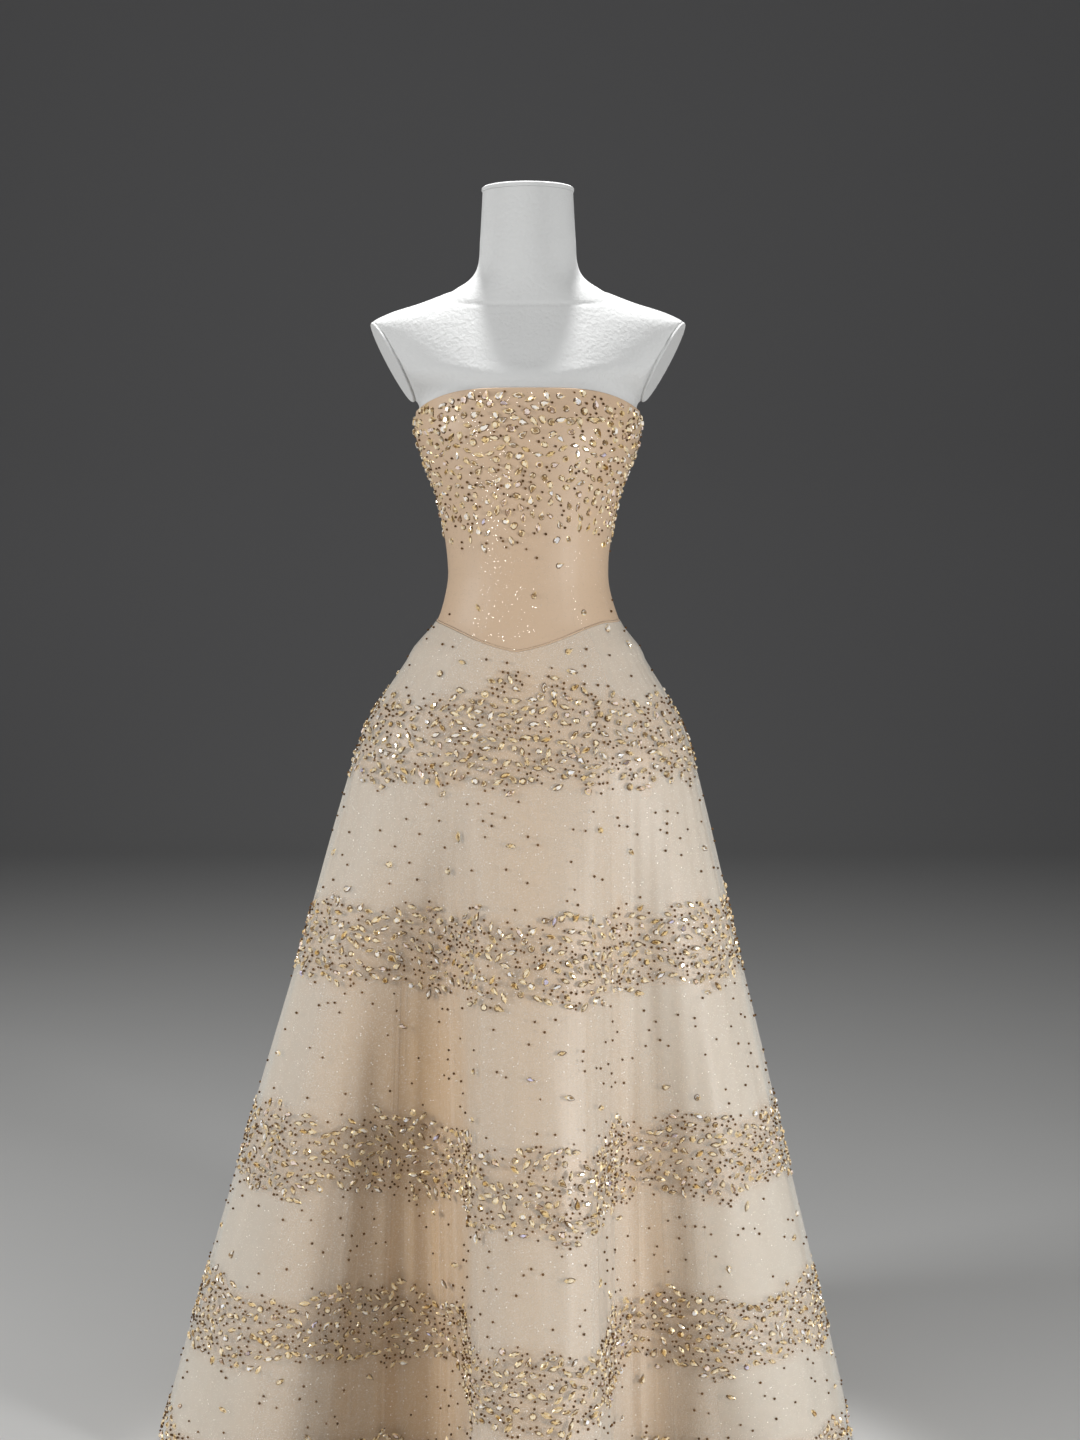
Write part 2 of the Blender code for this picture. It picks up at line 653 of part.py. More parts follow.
def build_neck_cap(angles):
    """A flat disc with a rounded edge on top of the neck."""
    board = finish("neck_cap_cover", (0.86, 0.86, 0.85), 0.7)
    bottom = NECK_TOP_Z + SEAM_GAP
    top = bottom + NECK_CAP_THICKNESS
    levels = [
        (0.0, bottom),
        (NECK_CAP_OVERHANG, bottom + NECK_CAP_ROUNDING),
        (NECK_CAP_OVERHANG, top - NECK_CAP_ROUNDING),
        (-NECK_CAP_TOP_INSET, top),
    ]
    s = between_rows(FORM_SHOULDERS, NECK_TOP_Z)
    points = []
    for grow, z in levels:
        half = s.half + grow
        for angle in angles:
            points.append(on_oval(angle, half, half, s.front + grow, s.back + grow, z))
    count = len(angles)
    faces = [tuple(range(count - 1, -1, -1)), tuple(range(3 * count, 4 * count))]
    for i in range(len(levels) - 1):
        for k in range(count):
            a = i * count + k
            b = i * count + (k + 1) % count
            faces.append((a, b, b + count, a + count))
    add_object("form_neck_cap", points, faces, board)


def build_stand():
    steel = finish("stand_steel", (0.80, 0.80, 0.80), 0.35, 1.0)
    floor_edge = BASE_RADIUS - BASE_ROUNDING
    turned(
        "form_base",
        [
            (floor_edge, 0.0),
            (BASE_RADIUS, BASE_ROUNDING / 2),
            (BASE_RADIUS, BASE_THICKNESS - BASE_ROUNDING),
            (floor_edge, BASE_THICKNESS),
            (BOSS_RADIUS + BASE_ROUNDING, BASE_THICKNESS),
            (BOSS_RADIUS, BASE_THICKNESS + BASE_ROUNDING),
            (BOSS_RADIUS, BASE_THICKNESS + BOSS_HEIGHT - BASE_ROUNDING),
            (BOSS_RADIUS - BASE_ROUNDING, BASE_THICKNESS + BOSS_HEIGHT),
        ],
        BASE_SIDES,
        steel,
    )
    bottom = BASE_THICKNESS + BOSS_HEIGHT + SEAM_GAP
    top = FORM_HEIGHTS[0] - SEAM_GAP
    turned("form_pole", [(POLE_RADIUS, bottom), (POLE_RADIUS, top)], POLE_SIDES, steel)


def box(low, high):
    """The points and faces of a box, for joining into a small part."""
    points = []
    for z in (low[2], high[2]):
        for y in (low[1], high[1]):
            points += [Vector((low[0], y, z)), Vector((high[0], y, z))]
    faces = [(0, 2, 3, 1), (4, 5, 7, 6), (0, 1, 5, 4), (2, 6, 7, 3), (0, 4, 6, 2), (1, 3, 7, 5)]
    return points, faces


def joined(base, addition):
    """Unites one more closed object with base and leaves the addition out."""
    union = base.modifiers.new("with_" + addition.name, "BOOLEAN")
    union.operation = "UNION"
    union.object = addition
    addition.hide_render = True
    addition.display_type = "WIRE"


def slider_middle():
    z = neckline_z(CENTRE_BACK) - SLIDER_TOP_MARGIN
    return Vector((0, on_figure(CENTRE_BACK, z).y + SEAM_GAP, z))


def prism_faces(count):
    """The faces of a prism whose first end has points 0 to count and its other end the rest."""
    faces = [tuple(range(count)), tuple(range(2 * count - 1, count - 1, -1))]
    for k in range(count):
        n = (k + 1) % count
        faces.append((k, k + count, n + count, n))
    return faces


def prism(outline, y_low, y_high):
    """Points and faces of an outline in the XZ plane drawn out along Y."""
    points = [Vector((x, y_low, z)) for x, z in outline]
    points += [Vector((x, y_high, z)) for x, z in outline]
    return points, prism_faces(len(outline))


def slider_plate():
    """The slider's plate in the XZ plane, with round corners."""
    outline = []
    for turn, sx, sz in ((0, 1, 1), (90, -1, 1), (180, -1, -1), (270, 1, -1)):
        for k in range(SLIDER_CORNER_STEPS + 1):
            a = math.radians(turn + 90 * k / SLIDER_CORNER_STEPS)
            x = sx * (SLIDER_WIDTH / 2 - SLIDER_CORNER) + SLIDER_CORNER * math.cos(a)
            z = sz * (SLIDER_HEIGHT / 2 - SLIDER_CORNER) + SLIDER_CORNER * math.sin(a)
            outline.append((x, z))
    return prism(outline, 0.0, SLIDER_THICKNESS)


def build_zip_slider():
    """The slider's rounded body on the cloth, and the lug over the tab's bar."""
    brass = finish("slider_lacquer", (0.78, 0.62, 0.42), 0.35, 0.6)
    middle = slider_middle()
    points, faces = slider_plate()
    body = add_object("zip_slider", [middle + p for p in points], faces, brass)
    half = LUG_LENGTH / 2
    root = SLIDER_THICKNESS - LUG_ROOT
    crown = SLIDER_THICKNESS + LUG_RISE
    inner = crown - LUG_WALL
    profile = [
        (-half, root),
        (-half, crown - LUG_CHAMFER),
        (-half + LUG_CHAMFER, crown),
        (half - LUG_CHAMFER, crown),
        (half, crown - LUG_CHAMFER),
        (half, root),
        (half - LUG_WALL, root),
        (half - LUG_WALL, inner),
        (-half + LUG_WALL, inner),
        (-half + LUG_WALL, root),
    ]
    lug_points = [middle + Vector((-LUG_WIDTH / 2, y, z)) for z, y in profile]
    lug_points += [middle + Vector((LUG_WIDTH / 2, y, z)) for z, y in profile]
    lug = add_object("slider_lug_shape", lug_points, prism_faces(len(profile)), brass)
    joined(body, lug)


def swing_axis():
    """The middle of the bar that the tab swings on, under the lug."""
    inner = SLIDER_THICKNESS + (LUG_RISE - LUG_WALL) / 2
    return slider_middle() + Vector((0, inner, 0))


def build_zip_tab():
    """The pull tab: a thin drop-shaped plate that hangs from a bar through the lug."""
    brass = finish("tab_lacquer", (0.78, 0.62, 0.42), 0.35, 0.6)
    inner_x = LUG_WIDTH / 2 + TAB_SIDE_PLAY
    outer_x = inner_x + TAB_CHEEK
    shoulder_z = TAB_SHOULDER - TAB_NECK
    rim = [(outer_x, TAB_HEAD), (-outer_x, TAB_HEAD), (-outer_x, shoulder_z)]
    for k in range(TAB_TIP_STEPS + 1):
        a = math.radians(180 + 180 * k / TAB_TIP_STEPS)
        tip_z = TAB_HALF_WIDTH * (1 + math.sin(a)) - TAB_LENGTH
        rim.append((TAB_HALF_WIDTH * math.cos(a), tip_z))
    rim.append((outer_x, shoulder_z))
    points, faces = prism(rim, -TAB_THICKNESS / 2, TAB_THICKNESS / 2)
    tab = add_object("zip_pull_tab", points, faces, brass)
    tab.location = swing_axis()
    slot_points, slot_faces = box(
        (-inner_x, -TAB_SLOT_HALF_DEPTH, -TAB_NECK),
        (inner_x, TAB_SLOT_HALF_DEPTH, -TAB_BAR_RADIUS),
    )
    slot = add_object("tab_slot_shape", slot_points, slot_faces, brass)
    slot.location = swing_axis()
    cut = tab.modifiers.new("slot", "BOOLEAN")
    cut.operation = "DIFFERENCE"
    cut.object = slot
    slot.hide_render = True
    slot.display_type = "WIRE"


remove_everything()
build_bodice()
build_skirt()
build_piping()
build_form()
build_stand()
build_zip_tapes()
build_zip_slider()
build_zip_tab()
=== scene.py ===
"""The looks of a strapless A-line evening gown on its limbless dress form, in metres.

The front of the gown faces -Y and the wearer's left is +X. Rings start at the centre back and
run by the wearer's right side, the front and the wearer's left side back to the centre back.
"""

import math
from collections import namedtuple

import bpy
import numpy as np
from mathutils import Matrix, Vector


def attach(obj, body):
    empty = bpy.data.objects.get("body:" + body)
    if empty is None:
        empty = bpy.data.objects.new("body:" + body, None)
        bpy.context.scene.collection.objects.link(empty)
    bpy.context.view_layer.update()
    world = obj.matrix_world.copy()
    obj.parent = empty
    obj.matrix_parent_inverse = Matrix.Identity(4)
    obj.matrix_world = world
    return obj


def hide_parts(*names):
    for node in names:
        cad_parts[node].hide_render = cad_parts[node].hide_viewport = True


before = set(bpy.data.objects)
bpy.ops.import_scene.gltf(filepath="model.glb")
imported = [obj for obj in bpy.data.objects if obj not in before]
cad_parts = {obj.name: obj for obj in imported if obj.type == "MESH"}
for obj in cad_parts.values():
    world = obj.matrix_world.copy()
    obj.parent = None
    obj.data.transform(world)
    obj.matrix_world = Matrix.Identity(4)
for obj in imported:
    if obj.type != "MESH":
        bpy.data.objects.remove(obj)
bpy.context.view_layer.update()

# The stand is a turned steel base with a boss and a plain pole, satin brushed after turning.
# Both keep the model's own shape, and only get their finish here.
STEEL = (0.62, 0.62, 0.61)
BRUSH_SCALE = 900.0
WHOLE = "gown_and_form"


def node(tree, kind, settings=None, **inputs):
    """A shader or geometry node. An input is a value, or an output socket to link from."""
    made = tree.nodes.new(kind)
    for name, value in (settings or {}).items():
        setattr(made, name, value)
    for name, value in inputs.items():
        place = int(name[1:]) if name[0] == "_" else name.replace("_", " ")
        if isinstance(value, bpy.types.NodeSocket):
            tree.links.new(value, made.inputs[place])
        else:
            made.inputs[place].default_value = value
    return made


def new_material(name, roughness, **constants):
    """A material with a Principled shader whose plain values are set on its own sockets."""
    material = bpy.data.materials.new(name)
    material.use_nodes = True
    shader = material.node_tree.nodes["Principled BSDF"]
    shader.inputs["Roughness"].default_value = roughness
    for socket, value in constants.items():
        shader.inputs[socket.replace("_", " ")].default_value = value
    return material, material.node_tree, shader


def blend(tree, factor, first, second, mode="MIX"):
    """A colour mixed from two, by a factor socket or number."""
    mix = tree.nodes.new("ShaderNodeMix")
    mix.data_type = "RGBA"
    mix.blend_type = mode
    for place, value in ((0, factor), (6, first), (7, second)):
        if isinstance(value, bpy.types.NodeSocket):
            tree.links.new(value, mix.inputs[place])
        elif place == 0:
            mix.inputs[0].default_value = value
        else:
            mix.inputs[place].default_value = (*value, 1.0)
    return mix.outputs[2]


def scaled(colour, share):
    """A colour made lighter or darker by a share."""
    return tuple(share * part for part in colour)


def own_place(tree):
    """Places on the piece itself, in metres."""
    return node(tree, "ShaderNodeTexCoord").outputs["Object"]


def noise(tree, place, scale, detail=2.0):
    """An uneven pattern between 0 and 1."""
    return node(tree, "ShaderNodeTexNoise", Vector=place, Scale=scale, Detail=detail).outputs["Fac"]


def ranged(tree, value, low, high, start=0.0, end=1.0):
    """A value between start and end, carried over to between low and high."""
    limits = {"From_Min": start, "From_Max": end, "To_Min": low, "To_Max": high}
    return node(tree, "ShaderNodeMapRange", Value=value, **limits).outputs[0]


def bump(tree, height, strength, distance, over=None):
    """A normal tilted by a height, over another normal where one is given."""
    tilted = node(tree, "ShaderNodeBump", Height=height, Strength=strength, Distance=distance)
    if over is not None:
        tree.links.new(over, tilted.inputs["Normal"])
    return tilted.outputs[0]


def wire(tree, shader, **outputs):
    """Links colours, values and normals to the shader's sockets of those names."""
    for name, output in outputs.items():
        tree.links.new(output, shader.inputs[name.replace("_", " ")])


def finish_solids(names, material):
    """Gives the model's own solids their finish."""
    for name in names:
        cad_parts[name].data.materials[0] = material


def brushed_steel():
    material, tree, shader = new_material("stand_brushed_steel", 0.34, Metallic=1.0)
    place = own_place(tree)
    drawn = node(tree, "ShaderNodeMapping", Vector=place, Scale=(1.0, 1.0, 0.03)).outputs[0]
    lines = noise(tree, drawn, BRUSH_SCALE)
    colour = blend(tree, noise(tree, place, 18.0), STEEL, scaled(STEEL, 0.86))
    rough = ranged(tree, lines, 0.26, 0.46)
    wire(tree, shader, Base_Color=colour, Roughness=rough, Normal=bump(tree, lines, 0.15, 0.0002))
    return material


finish_solids(("form_base", "form_pole"), brushed_steel())

# The gown's own cut: sections of the figure that it is made for, over the cloth, and the seams
# and edges that divide it. Every cloth piece, and the form inside, takes its shape from these.
Section = namedtuple("Section", "z right left front back")
FIGURE = [
    Section(1.3700, 0.1375, 0.1375, 0.1060, 0.0925),
    Section(1.3400, 0.1395, 0.1395, 0.1135, 0.0945),
    Section(1.3100, 0.1410, 0.1410, 0.1170, 0.0950),
    Section(1.2660, 0.1270, 0.1270, 0.1120, 0.0930),
    Section(1.2360, 0.1165, 0.1165, 0.1050, 0.0905),
    Section(1.2060, 0.1090, 0.1090, 0.0975, 0.0880),
    Section(1.1760, 0.1040, 0.1040, 0.0915, 0.0855),
    Section(1.1460, 0.1006, 0.1006, 0.0880, 0.0840),
    Section(1.1160, 0.1030, 0.1030, 0.0880, 0.0850),
    Section(1.0850, 0.1110, 0.1120, 0.0900, 0.0885),
    Section(1.0700, 0.1190, 0.1185, 0.0915, 0.0915),
    Section(1.0550, 0.1325, 0.1300, 0.0940, 0.0960),
    Section(1.0400, 0.1450, 0.1415, 0.0970, 0.1010),
    Section(1.0260, 0.1520, 0.1470, 0.1005, 0.1060),
    Section(0.9885, 0.1760, 0.1690, 0.1090, 0.1190),
    Section(0.9510, 0.1990, 0.1895, 0.1180, 0.1300),
    Section(0.9130, 0.2140, 0.2040, 0.1270, 0.1390),
]
NECKLINE_FRONT_Z = 1.361
NECKLINE_SIDE_Z = 1.337
NECKLINE_BACK_Z = 1.300
WAIST_SIDE_Z = 1.0765
WAIST_POINT_Z = 1.0435
WAIST_POINT_X = -0.011
WAIST_POINT_REACH = 0.105
WAIST_POINT_SHARPNESS = 0.6
WAIST_BACK_DIP = 0.006
CENTRE_BACK = 90.0
SEAM_GAP = 0.0003
CLOTH = 0.002
EDGE_TO_PIPING = 0.0014
EDGE_ROLL = 0.6
FIGURE_NEAR = (0.5, -0.002)
SHARP_EDGE = 75.0


def along_rows(rows, z):
    """The columns of a table at heights z, as smooth curves through its rows."""
    rows = sorted(rows, key=lambda row: row.z)
    heights = np.array([row.z for row in rows])
    table = np.array([row[1:] for row in rows])
    z = np.clip(z, heights[0], heights[-1])
    low = np.clip(np.searchsorted(heights, z) - 1, 0, len(rows) - 2)
    before = np.maximum(low - 1, 0)
    after = np.minimum(low + 2, len(rows) - 1)
    span = (heights[low + 1] - heights[low])[..., None]
    t = (z - heights[low])[..., None] / span
    slope_low = (table[low + 1] - table[before]) * span
    slope_low = slope_low / (heights[low + 1] - heights[before])[..., None]
    slope_high = (table[after] - table[low]) * span
    slope_high = slope_high / (heights[after] - heights[low])[..., None]
    first = (2 * t**3 - 3 * t**2 + 1) * table[low] + (t**3 - 2 * t**2 + t) * slope_low
    curve = first + (3 * t**2 - 2 * t**3) * table[low + 1] + (t**3 - t**2) * slope_high
    return np.moveaxis(curve, -1, 0)


def smooth_step(t):
    t = np.clip(t, 0.0, 1.0)
    return t * t * (3 - 2 * t)


def on_oval(angle, right, left, front, back, z):
    """Points of an oval whose four quarters have their own half widths and depths."""
    x = np.cos(np.radians(angle))
    y = np.sin(np.radians(angle))
    x = x * np.where(x > 0, left, right)
    y = y * np.where(y > 0, back, front)
    return np.stack(np.broadcast_arrays(x, y, z), axis=-1)


def on_figure(angle, z):
    angle, z = np.broadcast_arrays(angle, z)
    return on_oval(angle, *along_rows(FIGURE, z), z)


def neckline_z(angle):
    across = np.abs(np.cos(np.radians(angle)))
    depth = np.sin(np.radians(angle))
    front = NECKLINE_FRONT_Z - (NECKLINE_FRONT_Z - NECKLINE_SIDE_Z) * across**4
    back = NECKLINE_SIDE_Z - (NECKLINE_SIDE_Z - NECKLINE_BACK_Z) * smooth_step(depth)
    return np.where(depth <= 0, front, back)


def waist_z(angle):
    """The waist seam: a shallow V in front and a slight dip at the back."""
    depth = np.sin(np.radians(angle))
    x = on_figure(angle, WAIST_SIDE_Z + 0.0 * np.asarray(angle))[..., 0]
    away = np.minimum(np.abs(x - WAIST_POINT_X) / WAIST_POINT_REACH, 1.0)
    rise = WAIST_POINT_SHARPNESS * away + (1 - WAIST_POINT_SHARPNESS) * smooth_step(away)
    front = WAIST_POINT_Z + (WAIST_SIDE_Z - WAIST_POINT_Z) * rise
    return np.where(depth > 0, WAIST_SIDE_Z - WAIST_BACK_DIP * depth**2, front)


def facing(surface, across, down, across_step, down_step):
    """Outward directions of a surface, from short steps across and down it."""
    wide = surface(across + across_step, down) - surface(across - across_step, down)
    tall = surface(across, down + down_step) - surface(across, down - down_step)
    out = np.cross(tall, wide)
    return out / np.linalg.norm(out, axis=-1, keepdims=True)


def bell(distance, width):
    return np.exp(-((distance / width) ** 2))


def spread(start, end, steps):
    return np.linspace(start, end, steps + 1)


def way_round(away, whole):
    """The shorter way to a place on a closed course, given the distance one way."""
    return (away + whole / 2) % whole - whole / 2


def grid_faces(rows, columns, closed_round=False):
    """Quads of a grid of points, facing out where columns run anticlockwise and rows down."""
    r, c = np.meshgrid(np.arange(rows - 1), np.arange(columns - (not closed_round)), indexing="ij")
    across = (c + 1) % columns
    corners = (r * columns + c, (r + 1) * columns + c, (r + 1) * columns + across, r * columns + across)
    return np.stack(corners, axis=-1).reshape(-1, 4).tolist()


def tube_faces(rings, sides):
    """Quads of a closed tube from ring to ring, and its two flat ends."""
    faces = grid_faces(rings, sides, closed_round=True)
    faces.append(list(range(sides)))
    faces.append(list(range(rings * sides - 1, (rings - 1) * sides - 1, -1)))
    return faces


def in_scene(name, data):
    """A new object in the scene that shows a mesh, a lamp or a camera."""
    made = bpy.data.objects.new(name, data)
    bpy.context.scene.collection.objects.link(made)
    return made


def add_mesh(name, points, faces, material, smooth=True, cut=None):
    """A named object from points and faces; cut holds one UV pair for each point."""
    mesh = bpy.data.meshes.new(name)
    mesh.from_pydata(np.asarray(points).reshape(-1, 3).tolist(), [], faces)
    if smooth:
        mesh.shade_smooth()
    if cut is not None:
        layer = mesh.uv_layers.new(name="cut")
        corner_points = np.empty(len(mesh.loops), dtype=np.int32)
        mesh.loops.foreach_get("vertex_index", corner_points)
        layer.data.foreach_set("uv", np.asarray(cut).reshape(-1, 2)[corner_points].ravel())
    mesh.materials.append(material)
    return in_scene(name, mesh)


def cloth_wall(name, outer, inner, material, cut, edge, marks=None):
    """A closed wall of cloth between two grids of points, rolled over along its free edge.

    edge is that edge's row, 0 or -1; the other sides are flat, where one piece meets the next.
    marks holds named grids of numbers that the cloth's material reads as attributes.
    """
    rows, columns, _ = outer.shape
    middle = (outer + inner) / 2
    inside = rows * columns
    faces = grid_faces(rows, columns)
    faces += [tuple(reversed([i + inside for i in face])) for face in faces]
    rim = [r * columns for r in range(rows)]
    rim += [(rows - 1) * columns + c for c in range(1, columns)]
    rim += [r * columns + columns - 1 for r in range(rows - 2, -1, -1)]
    rim += [c for c in range(columns - 2, 0, -1)]
    inward = outer[1] - outer[0] if edge == 0 else outer[-2] - outer[-1]
    inward /= np.linalg.norm(inward, axis=1, keepdims=True)
    half_thickness = np.linalg.norm(outer[edge] - middle[edge], axis=1, keepdims=True)
    both = np.stack([outer, inner])
    both[:, edge] += inward * half_thickness * EDGE_ROLL
    first = 2 * inside
    points = np.concatenate([both.reshape(-1, 3), middle.reshape(-1, 3)[rim]])
    count = len(rim)
    for k in range(count):
        n = (k + 1) % count
        a, b = rim[k], rim[n]
        faces.append((b, a, first + k, first + n))
        faces.append((a + inside, b + inside, first + n, first + k))
    flat = cut.reshape(-1, 2)
    wall = add_mesh(name, points, faces, material, cut=np.concatenate([flat, flat, flat[rim]]))
    wall.data.set_sharp_from_angle(angle=math.radians(SHARP_EDGE))
    for key, grid in (marks or {}).items():
        layer = wall.data.attributes.new(key, "FLOAT", "POINT")
        grid = grid.ravel().astype(np.float32)
        layer.data.foreach_set("value", np.concatenate([grid, grid, grid[rim]]))
    return wall


def stand_for(piece, solid):
    """Puts a piece in its solid's place on the gown."""
    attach(piece, WHOLE)
    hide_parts(solid)


def lay(sheet, solid):
    """Puts a sheet of cloth in its solid's place.
    """
    stand_for(sheet, solid)


def new_group(name, kind, inputs, outputs):
    """An empty node group with named sockets, each given as its name and kind."""
    tree = bpy.data.node_groups.new(name, kind)
    for way, sockets in (("INPUT", inputs), ("OUTPUT", outputs)):
        for label, holds in sockets:
            tree.interface.new_socket(label, in_out=way, socket_type="NodeSocket" + holds)
    return tree, tree.nodes.new("NodeGroupInput"), tree.nodes.new("NodeGroupOutput")


def joined(tree, operation, first, second, kind="Math"):
    """Two numbers or sockets joined by one operation."""
    return node(tree, "ShaderNode" + kind, {"operation": operation}, _0=first, _1=second).outputs[0]


def fine_threads():
    """A shared effect: the fine uneven threads of woven or knitted cloth, as a height."""
    inputs = (("Vector", "Vector"), ("Threads", "Float"))
    tree, given, result = new_group("fine_threads", "ShaderNodeTree", inputs, (("Height", "Float"),))
    heights = []
    for stretch in ((1.0, 1.0, 0.12), (0.12, 0.12, 1.0)):
        drawn = joined(tree, "MULTIPLY", given.outputs[0], stretch, "VectorMath")
        heights.append(noise(tree, drawn, given.outputs[1]))
    tree.links.new(joined(tree, "MAXIMUM", *heights), result.inputs[0])
    return tree


def threads_of(tree, threads):
    """The fine threads in one material, with its own number of threads in a metre."""
    settings = {"node_tree": THREADS}
    group = node(tree, "ShaderNodeGroup", settings, Vector=own_place(tree), Threads=threads)
    return group.outputs["Height"]


THREADS = fine_threads()

# The dress form is a hollow shell covered in matt white jersey, drawn tight and seamed round the
# neck, with covered boards over the armholes and the neck. The gown rests on it from the bust down.
FormSection = namedtuple("FormSection", "z half front back")
FORM_HIPS = [
    FormSection(1.100, 0.1040, 0.0860, 0.0825),
    FormSection(1.060, 0.1135, 0.0875, 0.0880),
    FormSection(1.010, 0.1330, 0.0900, 0.1000),
    FormSection(0.960, 0.1480, 0.0930, 0.1110),
    FormSection(0.920, 0.1530, 0.0940, 0.1160),
    FormSection(0.870, 0.1500, 0.0920, 0.1120),
    FormSection(0.820, 0.1430, 0.0890, 0.1030),
    FormSection(0.802, 0.1390, 0.0860, 0.0990),
    FormSection(0.792, 0.1310, 0.0790, 0.0910),
    FormSection(0.788, 0.1200, 0.0690, 0.0800),
]
FORM_SHOULDERS = [
    FormSection(1.300, 0.1380, 0.1130, 0.0910),
    FormSection(1.340, 0.1500, 0.1090, 0.0915),
    FormSection(1.365, 0.1630, 0.1030, 0.0925),
    FormSection(1.385, 0.1770, 0.0960, 0.0930),
    FormSection(1.405, 0.1890, 0.0865, 0.0930),
    FormSection(1.425, 0.1970, 0.0765, 0.0905),
    FormSection(1.445, 0.1960, 0.0665, 0.0850),
    FormSection(1.458, 0.1720, 0.0610, 0.0800),
    FormSection(1.470, 0.1340, 0.0580, 0.0755),
    FormSection(1.484, 0.0980, 0.0560, 0.0700),
    FormSection(1.498, 0.0735, 0.0555, 0.0650),
    FormSection(1.515, 0.0625, 0.0560, 0.0600),
    FormSection(1.545, 0.0595, 0.0560, 0.0570),
    FormSection(1.605, 0.0560, 0.0540, 0.0545),
]
JERSEY = (0.63, 0.635, 0.63)
FORM_INSET = 0.0034
FORM_BACK_INSET = 0.0056
FORM_FOLLOWS_FROM_Z = 1.10
SHOULDER_START = 0.004
SHOULDER_BLEND = 0.030
ARM_HOLE_LOW = (0.1385, 1.3455)
ARM_HOLE_HIGH = (0.196, 1.452)
ARM_HOLE_TURN = math.radians(12)
FORM_TOP_Z = 1.605
FORM_LOW_Z = 0.788
FORM_SHARP_EDGE = 38.0
FORM_COLUMNS = 144
FORM_BARE_ROWS = 150
FORM_HIDDEN_ROWS = 50
FORM_SHOWS_FROM_Z = 1.29
NECK_SEAM_FRONT_Z = 1.464
NECK_SEAM_SIDE_Z = 1.487
NECK_SEAM_DEPTH = 0.0012
NECK_SEAM_WIDTH = 0.0026


def arm_plane(side):
    """The middle of the flat armhole face, its outward direction, and two directions in it."""
    low = Vector((ARM_HOLE_LOW[0], 0, ARM_HOLE_LOW[1]))
    high = Vector((ARM_HOLE_HIGH[0], 0, ARM_HOLE_HIGH[1]))
    rise = (high - low).normalized()
    out = (side * rise.z * math.cos(ARM_HOLE_TURN), -rise.z * math.sin(ARM_HOLE_TURN), -rise.x)
    out = Vector(out)
    middle = (low + high) / 2
    middle.x *= side
    across = out.cross(Vector((0, 0, 1))).normalized()
    return middle, out, across.cross(out).normalized(), across


def form_face(angle, z):
    """The jersey: hips below the waist, then inside the bodice, then the bare shoulders."""
    half, front, back = along_rows(FORM_HIPS, z)
    hips = on_oval(angle, half, half, front, back, z)
    right, left, front, back = along_rows(FIGURE, z)
    right, left, front = (width - FORM_INSET for width in (right, left, front))
    inside = on_oval(angle, right, left, front, back - FORM_BACK_INSET, z)
    half, front, back = along_rows(FORM_SHOULDERS, z)
    bare = on_oval(angle, half, half, front, back, z)
    share = smooth_step((z - neckline_z(angle) - SHOULDER_START) / SHOULDER_BLEND)[..., None]
    body = inside + (bare - inside) * share
    for side in (1, -1):
        middle, out, _, _ = arm_plane(side)
        flat_x = middle.x - (out.y * body[..., 1] + out.z * (z - middle.z)) / out.x
        past = (side * body[..., 0] > side * flat_x) & (share[..., 0] > 0)
        body[..., 0] = np.where(past, flat_x, body[..., 0])
    return np.where((z < FORM_FOLLOWS_FROM_Z)[..., None], hips, body)


def jersey_material():
    material, tree, shader = new_material("form_jersey", 0.82, Sheen_Weight=0.25)
    place = own_place(tree)
    colour = blend(tree, noise(tree, place, 14.0, 4.0), JERSEY, scaled(JERSEY, 0.93))
    knit = bump(tree, threads_of(tree, 1400.0), 0.25, 0.0002)
    crumpled = bump(tree, noise(tree, place, 210.0, 6.0), 0.8, 0.0013, over=knit)
    wire(tree, shader, Base_Color=colour, Normal=crumpled)
    return material


def build_form(jersey):
    """The torso and neck as one cover, with the seam sunk round the foot of the neck."""
    angles = spread(0.0, 360.0, FORM_COLUMNS)[:-1]
    heights = spread(FORM_TOP_Z, FORM_SHOWS_FROM_Z, FORM_BARE_ROWS)
    heights = np.append(heights, spread(FORM_SHOWS_FROM_Z, FORM_LOW_Z, FORM_HIDDEN_ROWS)[1:])
    angle, z = np.meshgrid(angles, heights)
    face = form_face(angle, z)
    out = facing(form_face, angle, z, 1.0, -0.002)
    to_front = smooth_step(-np.sin(np.radians(angle)))
    seam_z = NECK_SEAM_SIDE_Z + (NECK_SEAM_FRONT_Z - NECK_SEAM_SIDE_Z) * to_front
    face -= out * (NECK_SEAM_DEPTH * bell(z - seam_z, NECK_SEAM_WIDTH))[..., None]
    torso = add_mesh("form_cover", face, tube_faces(*angle.shape), jersey)
    torso.data.set_sharp_from_angle(angle=math.radians(FORM_SHARP_EDGE))
    stand_for(torso, "form_torso")


jersey = jersey_material()
build_form(jersey)
finish_solids(("form_arm_cap_left", "form_arm_cap_right", "form_neck_cap"), jersey)

